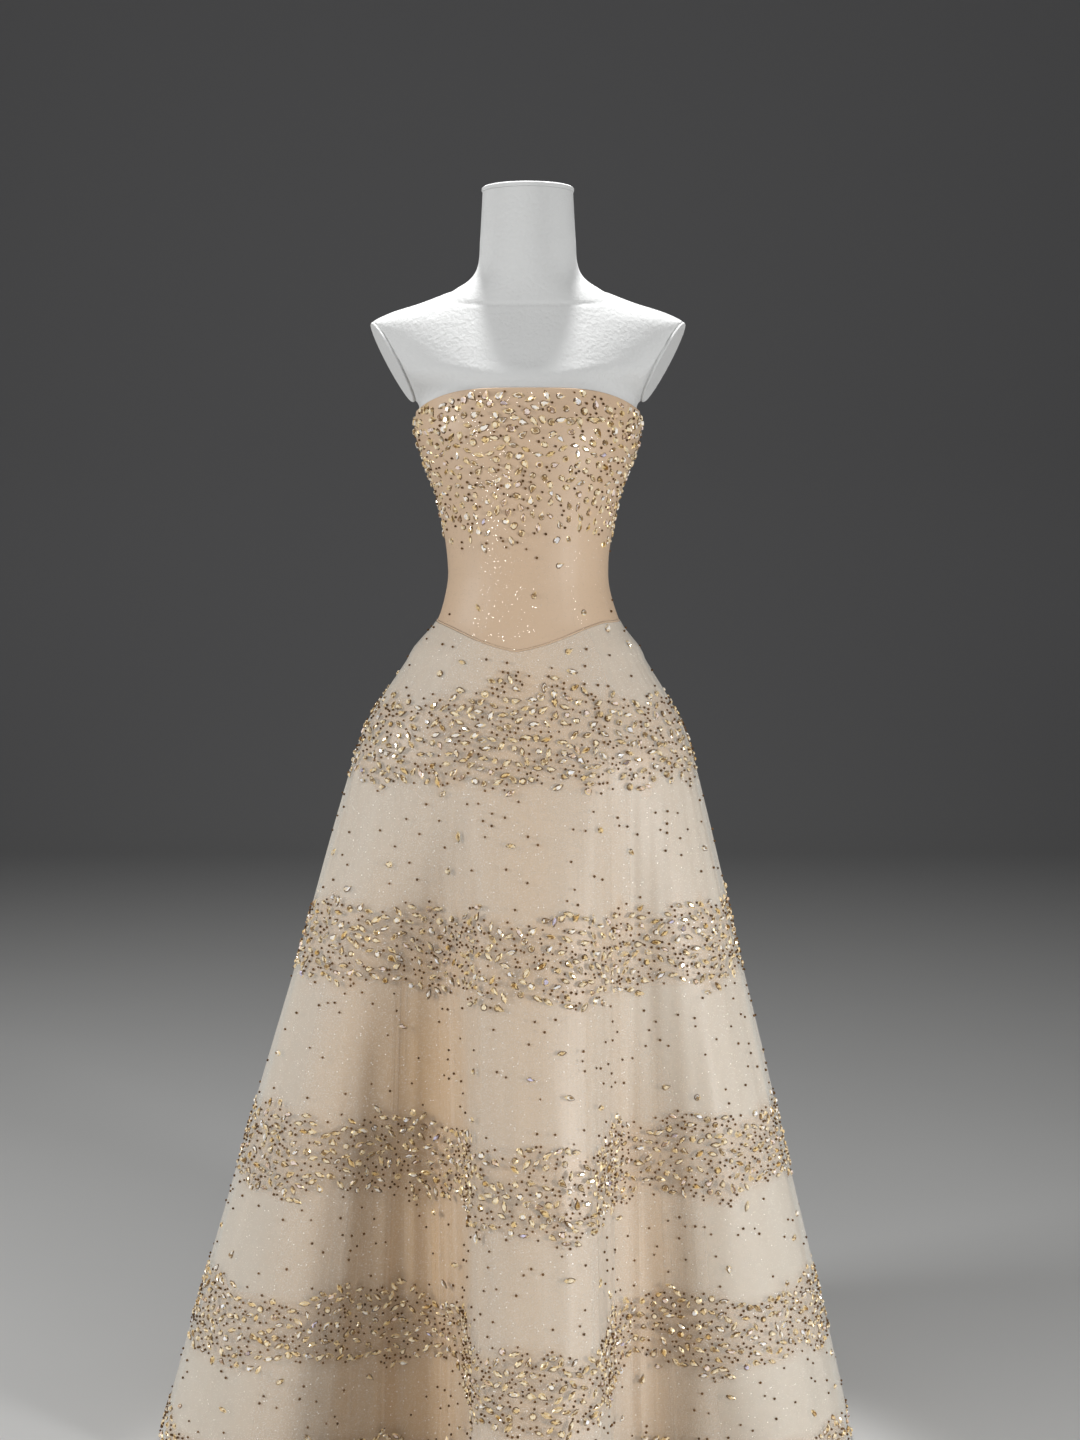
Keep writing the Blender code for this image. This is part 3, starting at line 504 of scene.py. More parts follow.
# The bodice is seven boned panels of peach satin under nude tulle with fine glitter, mounted as
# one cloth. Seams fall at the centre back, the sides and the princess lines; the top edge is
# turned in, and thin bones beside the seams hold the panels smooth.
BODICE_SEAMS = {
    "bodice_back_right": (0, 40),
    "bodice_side_back_right": (40, 90),
    "bodice_side_front_right": (90, 150),
    "bodice_front": (150, 210),
    "bodice_side_front_left": (210, 270),
    "bodice_side_back_left": (270, 320),
    "bodice_back_left": (320, 360),
}
BODICE_STEP = 1.25
BODICE_ROWS = 64
BODICE_ROUND = 0.11
BODICE_NEAR = (0.5, 0.01)
SEAM_SINK = 0.00012
SEAM_SINK_WIDTH = 1.2
SEAM_CLOSED = 0.01
TOP_EDGE_ROW = 0.006
BONE_RISE = 0.00025
BONE_WIDTH = 3.2
BONE_FROM_SEAM = 6.0
SPECK_RADIUS = 0.42
PEACH = (0.61, 0.445, 0.305)
# The deeper peach is painted shade for the top of the bodice.
PEACH_PAINTED_SHADE = (0.56, 0.385, 0.245)
NUDE_TULLE = (0.80, 0.72, 0.60)
GLITTER_WHITE = (0.98, 0.95, 0.90)

Drag = namedtuple("Drag", "turn z reach height depth")
DRAG_LINES = [
    Drag(122, 1.128, 26, 0.010, -0.0008),
    Drag(136, 1.112, 20, 0.007, -0.0006),
    Drag(108, 1.152, 24, 0.012, 0.0007),
    Drag(232, 1.124, 24, 0.009, -0.0008),
    Drag(248, 1.146, 26, 0.011, 0.0007),
    Drag(226, 1.104, 18, 0.006, -0.0005),
    Drag(176, 1.078, 26, 0.008, -0.0005),
    Drag(60, 1.130, 24, 0.010, -0.0008),
    Drag(30, 1.116, 20, 0.008, -0.0006),
    Drag(312, 1.122, 24, 0.009, -0.0008),
    Drag(338, 1.140, 18, 0.010, 0.0006),
]


def on_bodice(turn, down):
    """The bodice's face; turn is in degrees from the centre back, down from 0 to 1."""
    angle = CENTRE_BACK + turn
    top = neckline_z(angle)
    bottom = waist_z(angle) + EDGE_TO_PIPING
    return on_figure(angle, top + (bottom - top) * down)


def bodice_relief(turn, z):
    """Sunk seams, raised bones and a few drag lines, as heights over the plain cut."""
    relief = np.zeros_like(turn)
    for start, _ in BODICE_SEAMS.values():
        away = way_round(turn - start, 360)
        relief -= SEAM_SINK * bell(away, SEAM_SINK_WIDTH)
        for side in (-1, 1):
            relief += BONE_RISE * bell(away - side * BONE_FROM_SEAM, BONE_WIDTH)
    for drag in DRAG_LINES:
        relief += drag.depth * bell(turn - drag.turn, drag.reach) * bell(z - drag.z, drag.height)
    return relief


def bodice_face(turn, down, lift=0.0):
    plain = on_bodice(turn, down)
    out = facing(on_bodice, turn, down, *BODICE_NEAR)
    return plain + out * (bodice_relief(turn, plain[..., 2]) + lift)[..., None]


def glitter_specks():
    """A shared effect: flat specks of glitter, as a mask and a normal that tilts each speck."""
    inputs = (("Vector", "Vector"), ("Specks", "Float"), ("Share", "Float"))
    outputs = (("Mask", "Float"), ("Normal", "Vector"))
    tree, given, result = new_group("glitter_specks", "ShaderNodeTree", inputs, outputs)
    cells = node(tree, "ShaderNodeTexVoronoi", Vector=given.outputs[0], Scale=given.outputs[1])
    chance = node(tree, "ShaderNodeSeparateColor", _0=cells.outputs["Color"]).outputs[0]
    kept = joined(tree, "LESS_THAN", chance, given.outputs[2])
    near = joined(tree, "LESS_THAN", cells.outputs["Distance"], SPECK_RADIUS)
    mask = joined(tree, "MULTIPLY", kept, near)
    centred = joined(tree, "SUBTRACT", cells.outputs["Color"], (0.5, 0.5, 0.5), "VectorMath")
    tilt = node(tree, "ShaderNodeVectorMath", {"operation": "SCALE"}, _0=centred, Scale=mask)
    plain = node(tree, "ShaderNodeNewGeometry").outputs["Normal"]
    leant = joined(tree, "ADD", plain, tilt.outputs[0], "VectorMath")
    unit = node(tree, "ShaderNodeVectorMath", {"operation": "NORMALIZE"}, _0=leant)
    tree.links.new(mask, result.inputs[0])
    tree.links.new(unit.outputs[0], result.inputs[1])
    return tree


GLITTER = glitter_specks()


def specks_of(tree, specks, share):
    """The glitter in one material, with its own number of specks in a metre and share kept."""
    settings = {"node_tree": GLITTER}
    place = own_place(tree)
    return node(tree, "ShaderNodeGroup", settings, Vector=place, Specks=specks, Share=share)


def bodice_material():
    sheen = {"Sheen_Weight": 0.3, "Sheen_Roughness": 0.35, "Sheen_Tint": (*NUDE_TULLE, 1.0)}
    material, tree, shader = new_material("bodice_tulle_over_satin", 0.5, **sheen)
    place = own_place(tree)
    height = node(tree, "ShaderNodeSeparateXYZ", Vector=place).outputs[2]
    # Painted shade: the cloth is darker towards its top edge, in uneven patches.
    deep = ranged(tree, height, 0.0, 1.0, start=1.20, end=1.345)
    deep = joined(tree, "MULTIPLY", deep, noise(tree, place, 16.0, 3.0))
    threads = threads_of(tree, 1500.0)
    specks = specks_of(tree, 1600.0, 0.04)
    mask = specks.outputs["Mask"]
    colour = blend(tree, deep, PEACH, PEACH_PAINTED_SHADE)
    colour = blend(tree, threads, colour, scaled(PEACH, 0.9))
    colour = blend(tree, mask, colour, GLITTER_WHITE)
    rough = ranged(tree, mask, 0.52, 0.22)
    tilted = bump(tree, threads, 0.3, 0.0003, over=specks.outputs["Normal"])
    wire(tree, shader, Base_Color=colour, Roughness=rough, Metallic=mask, Normal=tilted)
    return material


def build_bodice(cloth):
    downs = np.insert(spread(0.0, 1.0, BODICE_ROWS), 1, TOP_EDGE_ROW)
    for name, (start, end) in BODICE_SEAMS.items():
        turns = spread(start + SEAM_CLOSED, end - SEAM_CLOSED, round((end - start) / BODICE_STEP))
        turn, down = np.meshgrid(turns, downs)
        outer = bodice_face(turn, down)
        inner = bodice_face(turn, down, -CLOTH)
        cut = np.stack([turn * BODICE_ROUND, outer[..., 2]], axis=-1)
        panel = cloth_wall(name + "_cloth", outer, inner, cloth, cut, edge=0)
        lay(panel, name)


build_bodice(bodice_material())

# The waist seam holds a piping, a thin cord covered in bias satin, sewn in all round. It runs in
# a shallow V at the front and is open at the centre back, where the zip crosses the seam.
PIPING_RADIUS = 0.0013
PIPING_SIDES = 10
PIPING_SECTIONS = 260
PIPING_COLOUR = (0.48, 0.35, 0.235)


def mottled(name, roughness, colour, share, scale, detail=2.0, **constants):
    """A material in uneven shades of one colour, and the pattern of its shades."""
    material, tree, shader = new_material(name, roughness, **constants)
    pattern = noise(tree, own_place(tree), scale, detail)
    wire(tree, shader, Base_Color=blend(tree, pattern, colour, scaled(colour, share)))
    return material, tree, shader, pattern


def piping_material():
    finish = ("piping_bias_satin", 0.45, PIPING_COLOUR, 1.35, 260.0)
    material, tree, shader, folds = mottled(*finish, Sheen_Weight=0.3)
    wire(tree, shader, Normal=bump(tree, folds, 0.4, 0.0005))
    return material


def build_piping(material):
    end_gap = math.degrees((SEAM_GAP + PIPING_RADIUS) / BODICE_ROUND)
    angles = spread(CENTRE_BACK + end_gap, CENTRE_BACK + 360 - end_gap, PIPING_SECTIONS)
    z = waist_z(angles)
    out = facing(on_figure, angles, z, *FIGURE_NEAR)
    path = on_figure(angles, z) - (CLOTH - PIPING_RADIUS) / 2 * out
    ahead = np.gradient(path, axis=0)
    side = np.cross(ahead, out)
    side /= np.linalg.norm(side, axis=1, keepdims=True)
    rings = []
    for turn in spread(0, 2 * math.pi, PIPING_SIDES)[:-1]:
        rings.append(path + PIPING_RADIUS * (math.cos(turn) * side + math.sin(turn) * out))
    points = np.stack(rings, axis=1)
    faces = tube_faces(len(angles), PIPING_SIDES)
    piping = add_mesh("waist_piping_cord", points, faces, material)
    stand_for(piping, "waist_piping")


build_piping(piping_material())

# The skirt is seven wide gores of champagne satin, flared from the waist and falling in straight
# folds. Each fold leaves the hip at one angle and ends at its own place on the floor.
HEM_Z = 0.010
HIP_Z = 0.913
Fold = namedtuple("Fold", "place hip_angle hem_x hem_y")
FOLDS = [
    Fold("centre back peak", 90, 0.004, 0.402),
    Fold("right cheek of the peak", 99, -0.050, 0.378),
    Fold("right wall of the peak", 107, -0.082, 0.300),
    Fold("right back valley", 115, -0.112, 0.218),
    Fold("inner wall of the right back peak", 123, -0.150, 0.262),
    Fold("right back peak", 131, -0.205, 0.338),
    Fold("outer cheek of the right back peak", 139, -0.268, 0.322),
    Fold("outer wall of the right back peak", 147, -0.296, 0.240),
    Fold("right side valley", 155, -0.318, 0.158),
    Fold("right side, rising", 163, -0.378, 0.140),
    Fold("right side, back cheek", 171, -0.452, 0.090),
    Fold("right side seam", 180, -0.484, 0.000),
    Fold("right side, front cheek", 189, -0.462, -0.078),
    Fold("right wing, outer", 198, -0.392, -0.132),
    Fold("right wing, crest", 208, -0.305, -0.150),
    Fold("right wing, inner", 218, -0.222, -0.118),
    Fold("right wing, falling", 229, -0.158, -0.096),
    Fold("right front valley", 238, -0.110, -0.105),
    Fold("right foot of the front fold", 245, -0.078, -0.165),
    Fold("right wall of the front fold", 250, -0.066, -0.250),
    Fold("right corner of the front fold", 255, -0.058, -0.325),
    Fold("right cheek of the front fold", 263, -0.028, -0.360),
    Fold("centre front", 272, 0.014, -0.370),
    Fold("left cheek of the front fold", 281, 0.054, -0.358),
    Fold("left corner of the front fold", 291, 0.085, -0.318),
    Fold("left wall of the front fold", 297, 0.095, -0.245),
    Fold("left foot of the front fold", 301, 0.104, -0.165),
    Fold("left front valley", 307, 0.130, -0.118),
    Fold("left wing, falling", 315, 0.178, -0.122),
    Fold("left wing, inner", 324, 0.240, -0.150),
    Fold("left wing, crest", 333, 0.312, -0.148),
    Fold("left wing, outer", 342, 0.374, -0.108),
    Fold("left side, front cheek", 351, 0.412, -0.055),
    Fold("left side seam", 360, 0.424, 0.005),
    Fold("left side, back cheek", 369, 0.404, 0.082),
    Fold("left side, falling", 377, 0.352, 0.138),
    Fold("left side valley", 385, 0.296, 0.165),
    Fold("outer wall of the left back peak", 393, 0.276, 0.245),
    Fold("left back peak", 401, 0.232, 0.325),
    Fold("inner cheek of the left back peak", 409, 0.176, 0.330),
    Fold("inner wall of the left back peak", 417, 0.134, 0.262),
    Fold("left back valley", 425, 0.106, 0.205),
    Fold("left wall of the centre back peak", 433, 0.078, 0.285),
    Fold("left cheek of the centre back peak", 441, 0.050, 0.368),
]
SKIRT_SEAMS = {
    "skirt_back_right": (0, 3),
    "skirt_side_back_right": (3, 11),
    "skirt_side_front_right": (11, 17),
    "skirt_front": (17, 27),
    "skirt_side_front_left": (27, 33),
    "skirt_side_back_left": (33, 41),
    "skirt_back_left": (41, 44),
}
SKIRT_NEAR = (0.02, -0.002)
GORES_APART = 0.0003
SATIN_STEPS = 9
FLARE_ROWS = 20
HANG_ROWS = 66
SATIN_THICKNESS = 0.0011
SATIN_INSET = 0.0009
SATIN_SINK = 0.0026
SKIRT_SEAM_SINK = 0.0003
HEM_EDGE_ROW = 0.002
SKIRT_SEAM_WIDTH = 0.06
HEM_TURNING = 0.014
HEM_RISE = 0.0005
SATIN = (0.62, 0.43, 0.26)
# The deeper, warmer satin is painted shade for the valleys between folds.
SATIN_PAINTED_SHADE = (0.61, 0.405, 0.22)
# The lighter satin is painted light along the tops of fine creases.
SATIN_PAINTED_CREASE_LIGHT = (0.72, 0.53, 0.36)

# Where shade is painted into the valleys: the satin deeper and warmer, the net thinner.
ShadedValley = namedtuple("ShadedValley", "place top width depth")
PAINTED_VALLEY_SHADES = [
    ShadedValley(16.5, 0.86, 2.6, 1.0),
    ShadedValley(27.8, 0.64, 1.4, 0.55),
    ShadedValley(8.0, 0.62, 1.3, 0.8),
    ShadedValley(3.0, 0.66, 1.1, 0.8),
    ShadedValley(36.0, 0.62, 1.3, 0.8),
    ShadedValley(41.3, 0.66, 1.1, 0.8),
]
VALLEY_GROWTH = 0.35
SLOW_WAVES = 0.0012
HANG_FROM_Z = 0.95

Crease = namedtuple("Crease", "place top width depth lean bottom", defaults=(0.0, 0.01))
SATIN_CREASES = [
    Crease(14.25, 0.50, 0.16, -0.0035, -0.25),
    Crease(14.70, 0.62, 0.12, 0.0030, -0.30),
    Crease(15.10, 0.44, 0.10, -0.0030, -0.20),
    Crease(15.45, 0.70, 0.13, 0.0035, -0.15),
    Crease(15.85, 0.56, 0.10, -0.0030, -0.10),
    Crease(16.20, 0.78, 0.11, 0.0030, -0.08),
    Crease(16.60, 0.48, 0.10, -0.0025),
    Crease(17.00, 0.66, 0.12, 0.0025, 0.05),
    Crease(17.45, 0.52, 0.10, -0.0025),
    Crease(19.35, 0.60, 0.16, -0.0020, 0.05),
    Crease(20.60, 0.42, 0.20, 0.0018, 0.10),
    Crease(21.60, 0.30, 0.22, -0.0015),
    Crease(22.70, 0.36, 0.20, 0.0015, -0.1),
    Crease(23.75, 0.74, 0.16, 0.0028, bottom=0.05),
    Crease(24.25, 0.66, 0.14, -0.0030),
    Crease(25.20, 0.50, 0.14, 0.0022),
    Crease(26.30, 0.60, 0.14, -0.0024, 0.05),
    Crease(27.30, 0.54, 0.15, 0.0026, 0.10),
    Crease(27.90, 0.40, 0.18, -0.0012, 0.15),
    Crease(28.60, 0.50, 0.30, 0.0010, 0.20),
    Crease(29.40, 0.34, 0.30, -0.0010, 0.25),
    Crease(30.80, 0.30, 0.20, 0.0020, 0.25),
    Crease(12.60, 0.34, 0.22, 0.0022, -0.20),
    Crease(11.40, 0.46, 0.20, -0.0020, -0.10),
    Crease(8.20, 0.60, 0.22, -0.0030),
    Crease(7.30, 0.50, 0.18, 0.0026),
    Crease(5.60, 0.40, 0.22, 0.0020),
    Crease(3.30, 0.62, 0.18, 0.0026),
    Crease(2.40, 0.48, 0.16, -0.0024),
    Crease(0.60, 0.36, 0.22, 0.0018),
    Crease(43.30, 0.44, 0.20, -0.0018),
    Crease(41.20, 0.58, 0.16, 0.0026),
    Crease(39.60, 0.42, 0.20, -0.0022),
    Crease(37.10, 0.52, 0.18, 0.0026),
    Crease(35.60, 0.60, 0.22, -0.0030),
    Crease(34.20, 0.38, 0.20, 0.0020, 0.1),
]


def through_folds(place, values, turn=0.0):
    """A smooth closed curve through one value of each fold; turn is added on each way round."""
    count = len(values)
    values = np.asarray(values, dtype=float)
    first = np.floor(place).astype(int)
    t = place - first
    a, b, c, d = (values[(first + k) % count] + (first + k) // count * turn for k in (-1, 0, 1, 2))
    curve = 2 * b + (c - a) * t + (2 * a - 5 * b + 4 * c - d) * t**2
    return 0.5 * (curve + (3 * b - a - 3 * c + d) * t**3)


def hip_angle(place):
    return through_folds(place, [fold.hip_angle for fold in FOLDS], turn=360.0)


def on_skirt(place, z):
    """The skirt's plain form: on the figure to the hip, then straight down each fold."""
    angle = hip_angle(place)
    over_hip = on_figure(angle, np.maximum(z, HIP_Z))
    fall = np.maximum(HIP_Z - z, 0.0) / HIP_Z
    hem_x = through_folds(place, [fold.hem_x for fold in FOLDS])
    hem_y = through_folds(place, [fold.hem_y for fold in FOLDS])
    x = over_hip[..., 0] + (hem_x - over_hip[..., 0]) * fall
    y = over_hip[..., 1] + (hem_y - over_hip[..., 1]) * fall
    return np.stack([x, y, z + 0.0 * x], axis=-1)


def skirt_top(place):
    return waist_z(hip_angle(place)) - EDGE_TO_PIPING


def creases_at(creases, place, z):
    """Soft troughs and ridges that run down the folds, fading out at their upper ends."""
    relief = np.zeros(np.broadcast(place, z).shape)
    for crease in creases:
        middle = (crease.top + crease.bottom) / 2
        away = way_round(place - crease.place - crease.lean * (middle - z), len(FOLDS))
        grown = smooth_step((crease.top - z) / (0.7 * (crease.top - crease.bottom)))
        relief += crease.depth * grown * bell(away, crease.width)
    return relief


def slow_waves(place, z):
    """The slight unevenness of hanging cloth, none at the hip and most at the hem."""
    grown = smooth_step((HANG_FROM_Z - z) / 0.7)
    waves = np.sin(1.9 * place + 5.0 * z) + 0.7 * np.sin(3.1 * place - 9.0 * z + 1.3)
    return SLOW_WAVES * grown * (waves + 0.5 * np.sin(5.3 * place + 14.0 * z + 0.4))


def satin_relief(place, z):
    relief = creases_at(SATIN_CREASES, place, z) + slow_waves(place, z)
    for start, _ in SKIRT_SEAMS.values():
        relief -= SKIRT_SEAM_SINK * bell(way_round(place - start, len(FOLDS)), SKIRT_SEAM_WIDTH)
    return relief + HEM_RISE * smooth_step((HEM_Z + HEM_TURNING - z) / 0.002)


def satin_face(place, z, lift=0.0):
    out = facing(on_skirt, place, z, *SKIRT_NEAR)
    sink = SATIN_INSET + SATIN_SINK * smooth_step((HANG_FROM_Z - z) / 0.6)
    return on_skirt(place, z) + out * (satin_relief(place, z) - sink + lift)[..., None]


def hollow(place, z):
    """Up to 1 in the deep valleys between folds, where painted shade makes the cloth deeper and
    warmer, and 0 elsewhere.
    """
    shade = np.zeros(np.broadcast(place, z).shape)
    for valley in PAINTED_VALLEY_SHADES:
        away = way_round(place - valley.place, len(FOLDS))
        grown = smooth_step((valley.top - z) / VALLEY_GROWTH)
        shade = np.maximum(shade, valley.depth * grown * bell(away, valley.width))
    return shade


def skirt_grid(start, end, steps):
    """Places and heights of a gore's grid: level rows from the hip down, eased into the waist."""
    places = spread(start + GORES_APART, end - GORES_APART, (end - start) * steps)
    top = skirt_top(places)
    upper = top + (HIP_Z - top) * spread(0.0, 1.0, FLARE_ROWS)[:, None]
    fall = np.insert(spread(0.0, 1.0, HANG_ROWS)[1:], -1, 1.0 - HEM_EDGE_ROW)
    lower = HIP_Z + (HEM_Z - HIP_Z) * fall[:, None]
    z = np.concatenate([upper, np.broadcast_to(lower, (len(fall), len(places)))])
    return np.broadcast_to(places, z.shape), z


def folds_cut(place, z):
    """The cut's own coordinates, in metres across at the hem and up from the floor."""
    samples = spread(0.0, float(len(FOLDS)), 12 * len(FOLDS))
    line = on_skirt(samples, 0.0 * samples + HEM_Z)
    run = np.append(0.0, np.cumsum(np.linalg.norm(np.diff(line, axis=0), axis=1)))
    return np.stack([np.interp(place, samples, run), z], axis=-1)


def hang(solid, kind, steps, face, lifts, key, marked, material, rests_on):
    """One gore, walled between its face at two lifts and hung from the waist seam."""
    place, z = skirt_grid(*SKIRT_SEAMS[solid], steps)
    outer, inner = (face(place, z, lift) for lift in lifts)
    marks = {key: marked(place, z)}
    cut = folds_cut(place, z)
    gore = cloth_wall(solid + "_" + kind, outer, inner, material, cut, edge=-1, marks=marks)
    lay(gore, solid)
    return gore


def attribute(tree, name):
    return node(tree, "ShaderNodeAttribute", {"attribute_name": name}).outputs["Fac"]


def on_cut(tree, stretch):
    """Places on the flat cut, drawn out so that a pattern runs down the gore."""
    cut = node(tree, "ShaderNodeUVMap", {"uv_map": "cut"}).outputs[0]
    return node(tree, "ShaderNodeMapping", Vector=cut, Scale=stretch).outputs[0]


def satin_material():
    """Champagne satin with painted shade: deeper and warmer in the valleys, where fine raised creases
    are painted lighter along their tops.
    """
    material, tree, shader = new_material("skirt_satin", 0.4, Sheen_Weight=0.15)
    # Painted shade: the valley mask deepens and warms the satin.
    deep = attribute(tree, "hollow")
    streaks = noise(tree, on_cut(tree, (90.0, 1.1, 1.0)), 1.0, 3.0)
    lines = ranged(tree, streaks, 0.0, 1.0, start=0.50, end=0.72)
    # Painted light: fine creases, mostly in the valleys, are raised by a bump and painted lighter.
    painted_crease_light = joined(tree, "MULTIPLY", lines, ranged(tree, deep, 0.12, 0.8))
    colour = blend(tree, deep, SATIN, SATIN_PAINTED_SHADE)
    colour = blend(tree, painted_crease_light, colour, SATIN_PAINTED_CREASE_LIGHT)
    drawn = bump(tree, painted_crease_light, 0.5, 0.002)
    woven = bump(tree, threads_of(tree, 1300.0), 0.15, 0.0002, over=drawn)
    wire(tree, shader, Base_Color=colour, Normal=woven)
    return material


def build_satin(cloth):
    gores = {}
    lifts = (0.0, -SATIN_THICKNESS)
    for solid in SKIRT_SEAMS:
        marked = ("hollow", hollow)
        waist = ["waist_piping_cord"]
        gores[solid] = hang(solid, "satin", SATIN_STEPS, satin_face, lifts, *marked, cloth, waist)
    return gores


satin_gores = build_satin(satin_material())

# Over the satin hangs the outer skirt of soft glitter tulle, cut in the same seven gores and set
# into the same waist seam. It stands a few millimetres off the satin and has its own fine folds.
TULLE_STEPS = 10
TULLE_THICKNESS = 0.0004
TULLE_STAND = 0.0040
TULLE_LEAST = 0.0005
TULLE = (0.84, 0.81, 0.73)
COVER_FRONT = 0.35
# More net cover at the sides is painted light on the lit wings; less in the valleys is painted shade.
COVER_PAINTED_LIT_SIDES = 0.60
COVER_LOW = 0.07
COVER_IN_PAINTED_SHADE = 0.10
COVER_WORKED = 0.36
FRONT_CREST = 0.040
FRONT_CREST_PLACE = 22.0
FRONT_CREST_WIDTH = 3.6
TULLE_CREASES = [
    Crease(13.40, 0.60, 0.20, 0.0022, -0.30),
    Crease(14.60, 0.74, 0.14, 0.0026, -0.30),
    Crease(15.70, 0.60, 0.12, 0.0024, -0.15),
    Crease(16.45, 0.70, 0.12, 0.0026),
    Crease(17.60, 0.58, 0.14, 0.0022),
    Crease(20.20, 0.80, 0.22, 0.0018),
    Crease(23.90, 0.90, 0.14, 0.0030),
    Crease(24.70, 0.70, 0.14, 0.0022),
    Crease(25.65, 0.74, 0.09, 0.0028),
    Crease(26.25, 0.66, 0.08, 0.0026),
    Crease(26.80, 0.60, 0.14, 0.0018, 0.05),
    Crease(28.20, 0.60, 0.28, 0.0012, 0.20),
    Crease(29.90, 0.46, 0.30, 0.0012, 0.25),
    Crease(31.60, 0.44, 0.22, 0.0018, 0.20),
    Crease(10.20, 0.50, 0.22, 0.0020),
    Crease(7.70, 0.66, 0.18, 0.0024),
    Crease(4.20, 0.60, 0.18, 0.0022),
    Crease(1.40, 0.54, 0.20, 0.0020),
    Crease(42.30, 0.60, 0.20, 0.0022),
    Crease(38.60, 0.50, 0.20, 0.0020),
    Crease(36.20, 0.64, 0.20, 0.0026),
]

Band = namedtuple("Band", "top bottom stones beads phase")
BANDS = [
    Band(0.984, 0.874, 4300, 4100, 0.3),
    Band(0.732, 0.622, 4400, 4400, 1.7),
    Band(0.468, 0.360, 4500, 4600, 2.9),
    Band(0.245, 0.145, 4700, 5000, 4.1),
    Band(0.054, 0.012, 4800, 5000, 5.2),
]


def wander(place, phase):
    return 0.0075 * np.sin(1.9 * place + phase) + 0.0045 * np.sin(4.7 * place + 2.0 * phase)


def in_band(place, z, band):
    """1 inside a band, whose edges wander and fray, and 0 outside it.

    The uppermost band rises to a crest in front, under the point of the waist.
    """
    crest = FRONT_CREST if band is BANDS[0] else 0.0
    raised = crest * bell(place - FRONT_CREST_PLACE, FRONT_CREST_WIDTH)
    top = band.top + wander(place, band.phase) + raised
    bottom = band.bottom + wander(place, band.phase + 2.2)
    return smooth_step((top - z) / 0.010) * smooth_step((z - bottom) / 0.014)


def tulle_stand(place, z):
    """How far the tulle hangs off the satin's own form: next to nothing at the seam."""
    grown = smooth_step((skirt_top(place) - z) / 0.16)
    ripple = 0.5 + 0.5 * np.sin(6.1 * place + 7.0 * z) * np.sin(2.3 * place - 11.0 * z + 0.8)
    return TULLE_LEAST + TULLE_STAND * grown * (0.35 + 0.65 * ripple)


def tulle_face(place, z, lift=0.0):
    out = facing(on_skirt, place, z, *SKIRT_NEAR)
    folds = np.maximum(creases_at(SATIN_CREASES, place, z), 0.0)
    folds += creases_at(TULLE_CREASES, place, z) + slow_waves(place, z)
    return on_skirt(place, z) + out * (folds + tulle_stand(place, z) + lift)[..., None]


def net_cover_with_painted_light(place, z):
    """How much of the satin one face of the net hides.

    The two faces together hide more where the net falls at a slant and near the floor, and less
    in the valleys and where the beadwork draws it tight. More net at the sides paints the lit
    sides of the skirt paler, and less net in the valleys is painted shade that lets the deeper
    satin through.
    """
    sideways = np.abs(np.cos(np.radians(hip_angle(place))))
    plain = COVER_FRONT + (COVER_PAINTED_LIT_SIDES - COVER_FRONT) * sideways
    plain += COVER_LOW * smooth_step((0.75 - z) / 0.6)
    plain *= 1.0 - COVER_WORKED * sum(in_band(place, z, band) for band in BANDS)
    whole = plain + (COVER_IN_PAINTED_SHADE - plain) * hollow(place, z)
    return 1.0 - np.sqrt(1.0 - whole)


def tulle_material():
    """Fine pale net: it lets the satin through, and carries tiny glitter and a few bright flakes."""
    material, tree, shader = new_material("skirt_glitter_tulle", 0.6, Sheen_Weight=0.2)
    streaks = noise(tree, on_cut(tree, (18.0, 1.0, 1.0)), 1.0)
    fine = specks_of(tree, 1700.0, 0.05)
    flakes = specks_of(tree, 620.0, 0.009)
    specks = joined(tree, "MAXIMUM", fine.outputs["Mask"], flakes.outputs["Mask"])
    colour = blend(tree, streaks, TULLE, scaled(TULLE, 0.94))
    colour = blend(tree, specks, colour, GLITTER_WHITE)
    rough = ranged(tree, specks, 0.6, 0.25)
    uneven = ranged(tree, streaks, 0.95, 1.05, start=0.3, end=0.7)
    # The cover carries painted light at the sides and painted shade in the valleys.
    net = joined(tree, "MULTIPLY", attribute(tree, "cover"), uneven)
    alpha = joined(tree, "MAXIMUM", net, specks)
    wire(tree, shader, Base_Color=colour, Roughness=rough, Alpha=alpha, Normal=fine.outputs["Normal"])
    return material


def build_tulle(cloth):
    lifts = (TULLE_THICKNESS, 0.0)
    for solid in SKIRT_SEAMS:
        marked = ("cover", net_cover_with_painted_light)
        under = [satin_gores[solid]]
        hang(solid, "tulle", TULLE_STEPS, tulle_face, lifts, *marked, cloth, under)


build_tulle(tulle_material())

# The concealed zip closes the centre back: two woven tapes inside, a nylon coil behind each edge
# of the seam, and a lacquered slider whose drop-shaped tab hangs from a bar under its lug.
ZIP_TOP_Z = 1.2955
ZIP_END_Z = 0.918
COIL_PITCH = 0.0013
COIL_FROM_SEAM = 0.00095
COIL_INSET = 0.00245
COIL_HALF = (0.00062, 0.00034, 0.00040)
TAPE_COLOUR = (0.62, 0.46, 0.31)
LACQUER = (0.74, 0.56, 0.36)
COIL_COLOUR = (0.70, 0.55, 0.40)


def tape_material():
    material, tree, shader = new_material("zip_tape_weave", 0.85)
    upright = {"bands_direction": "Z"}
    ribs = node(tree, "ShaderNodeTexWave", upright, Vector=own_place(tree), Scale=420.0).outputs["Fac"]
    colour = blend(tree, ribs, TAPE_COLOUR, scaled(TAPE_COLOUR, 0.8))
    wire(tree, shader, Base_Color=colour, Normal=bump(tree, ribs, 0.4, 0.0003))
    return material


def lacquer_material():
    finish = ("zip_slider_lacquer", 0.3, LACQUER, 0.82, 900.0, 3.0)
    material, tree, shader, wear = mottled(*finish, Metallic=0.7, Coat_Weight=0.6)
    wire(tree, shader, Roughness=ranged(tree, wear, 0.24, 0.42))
    return material


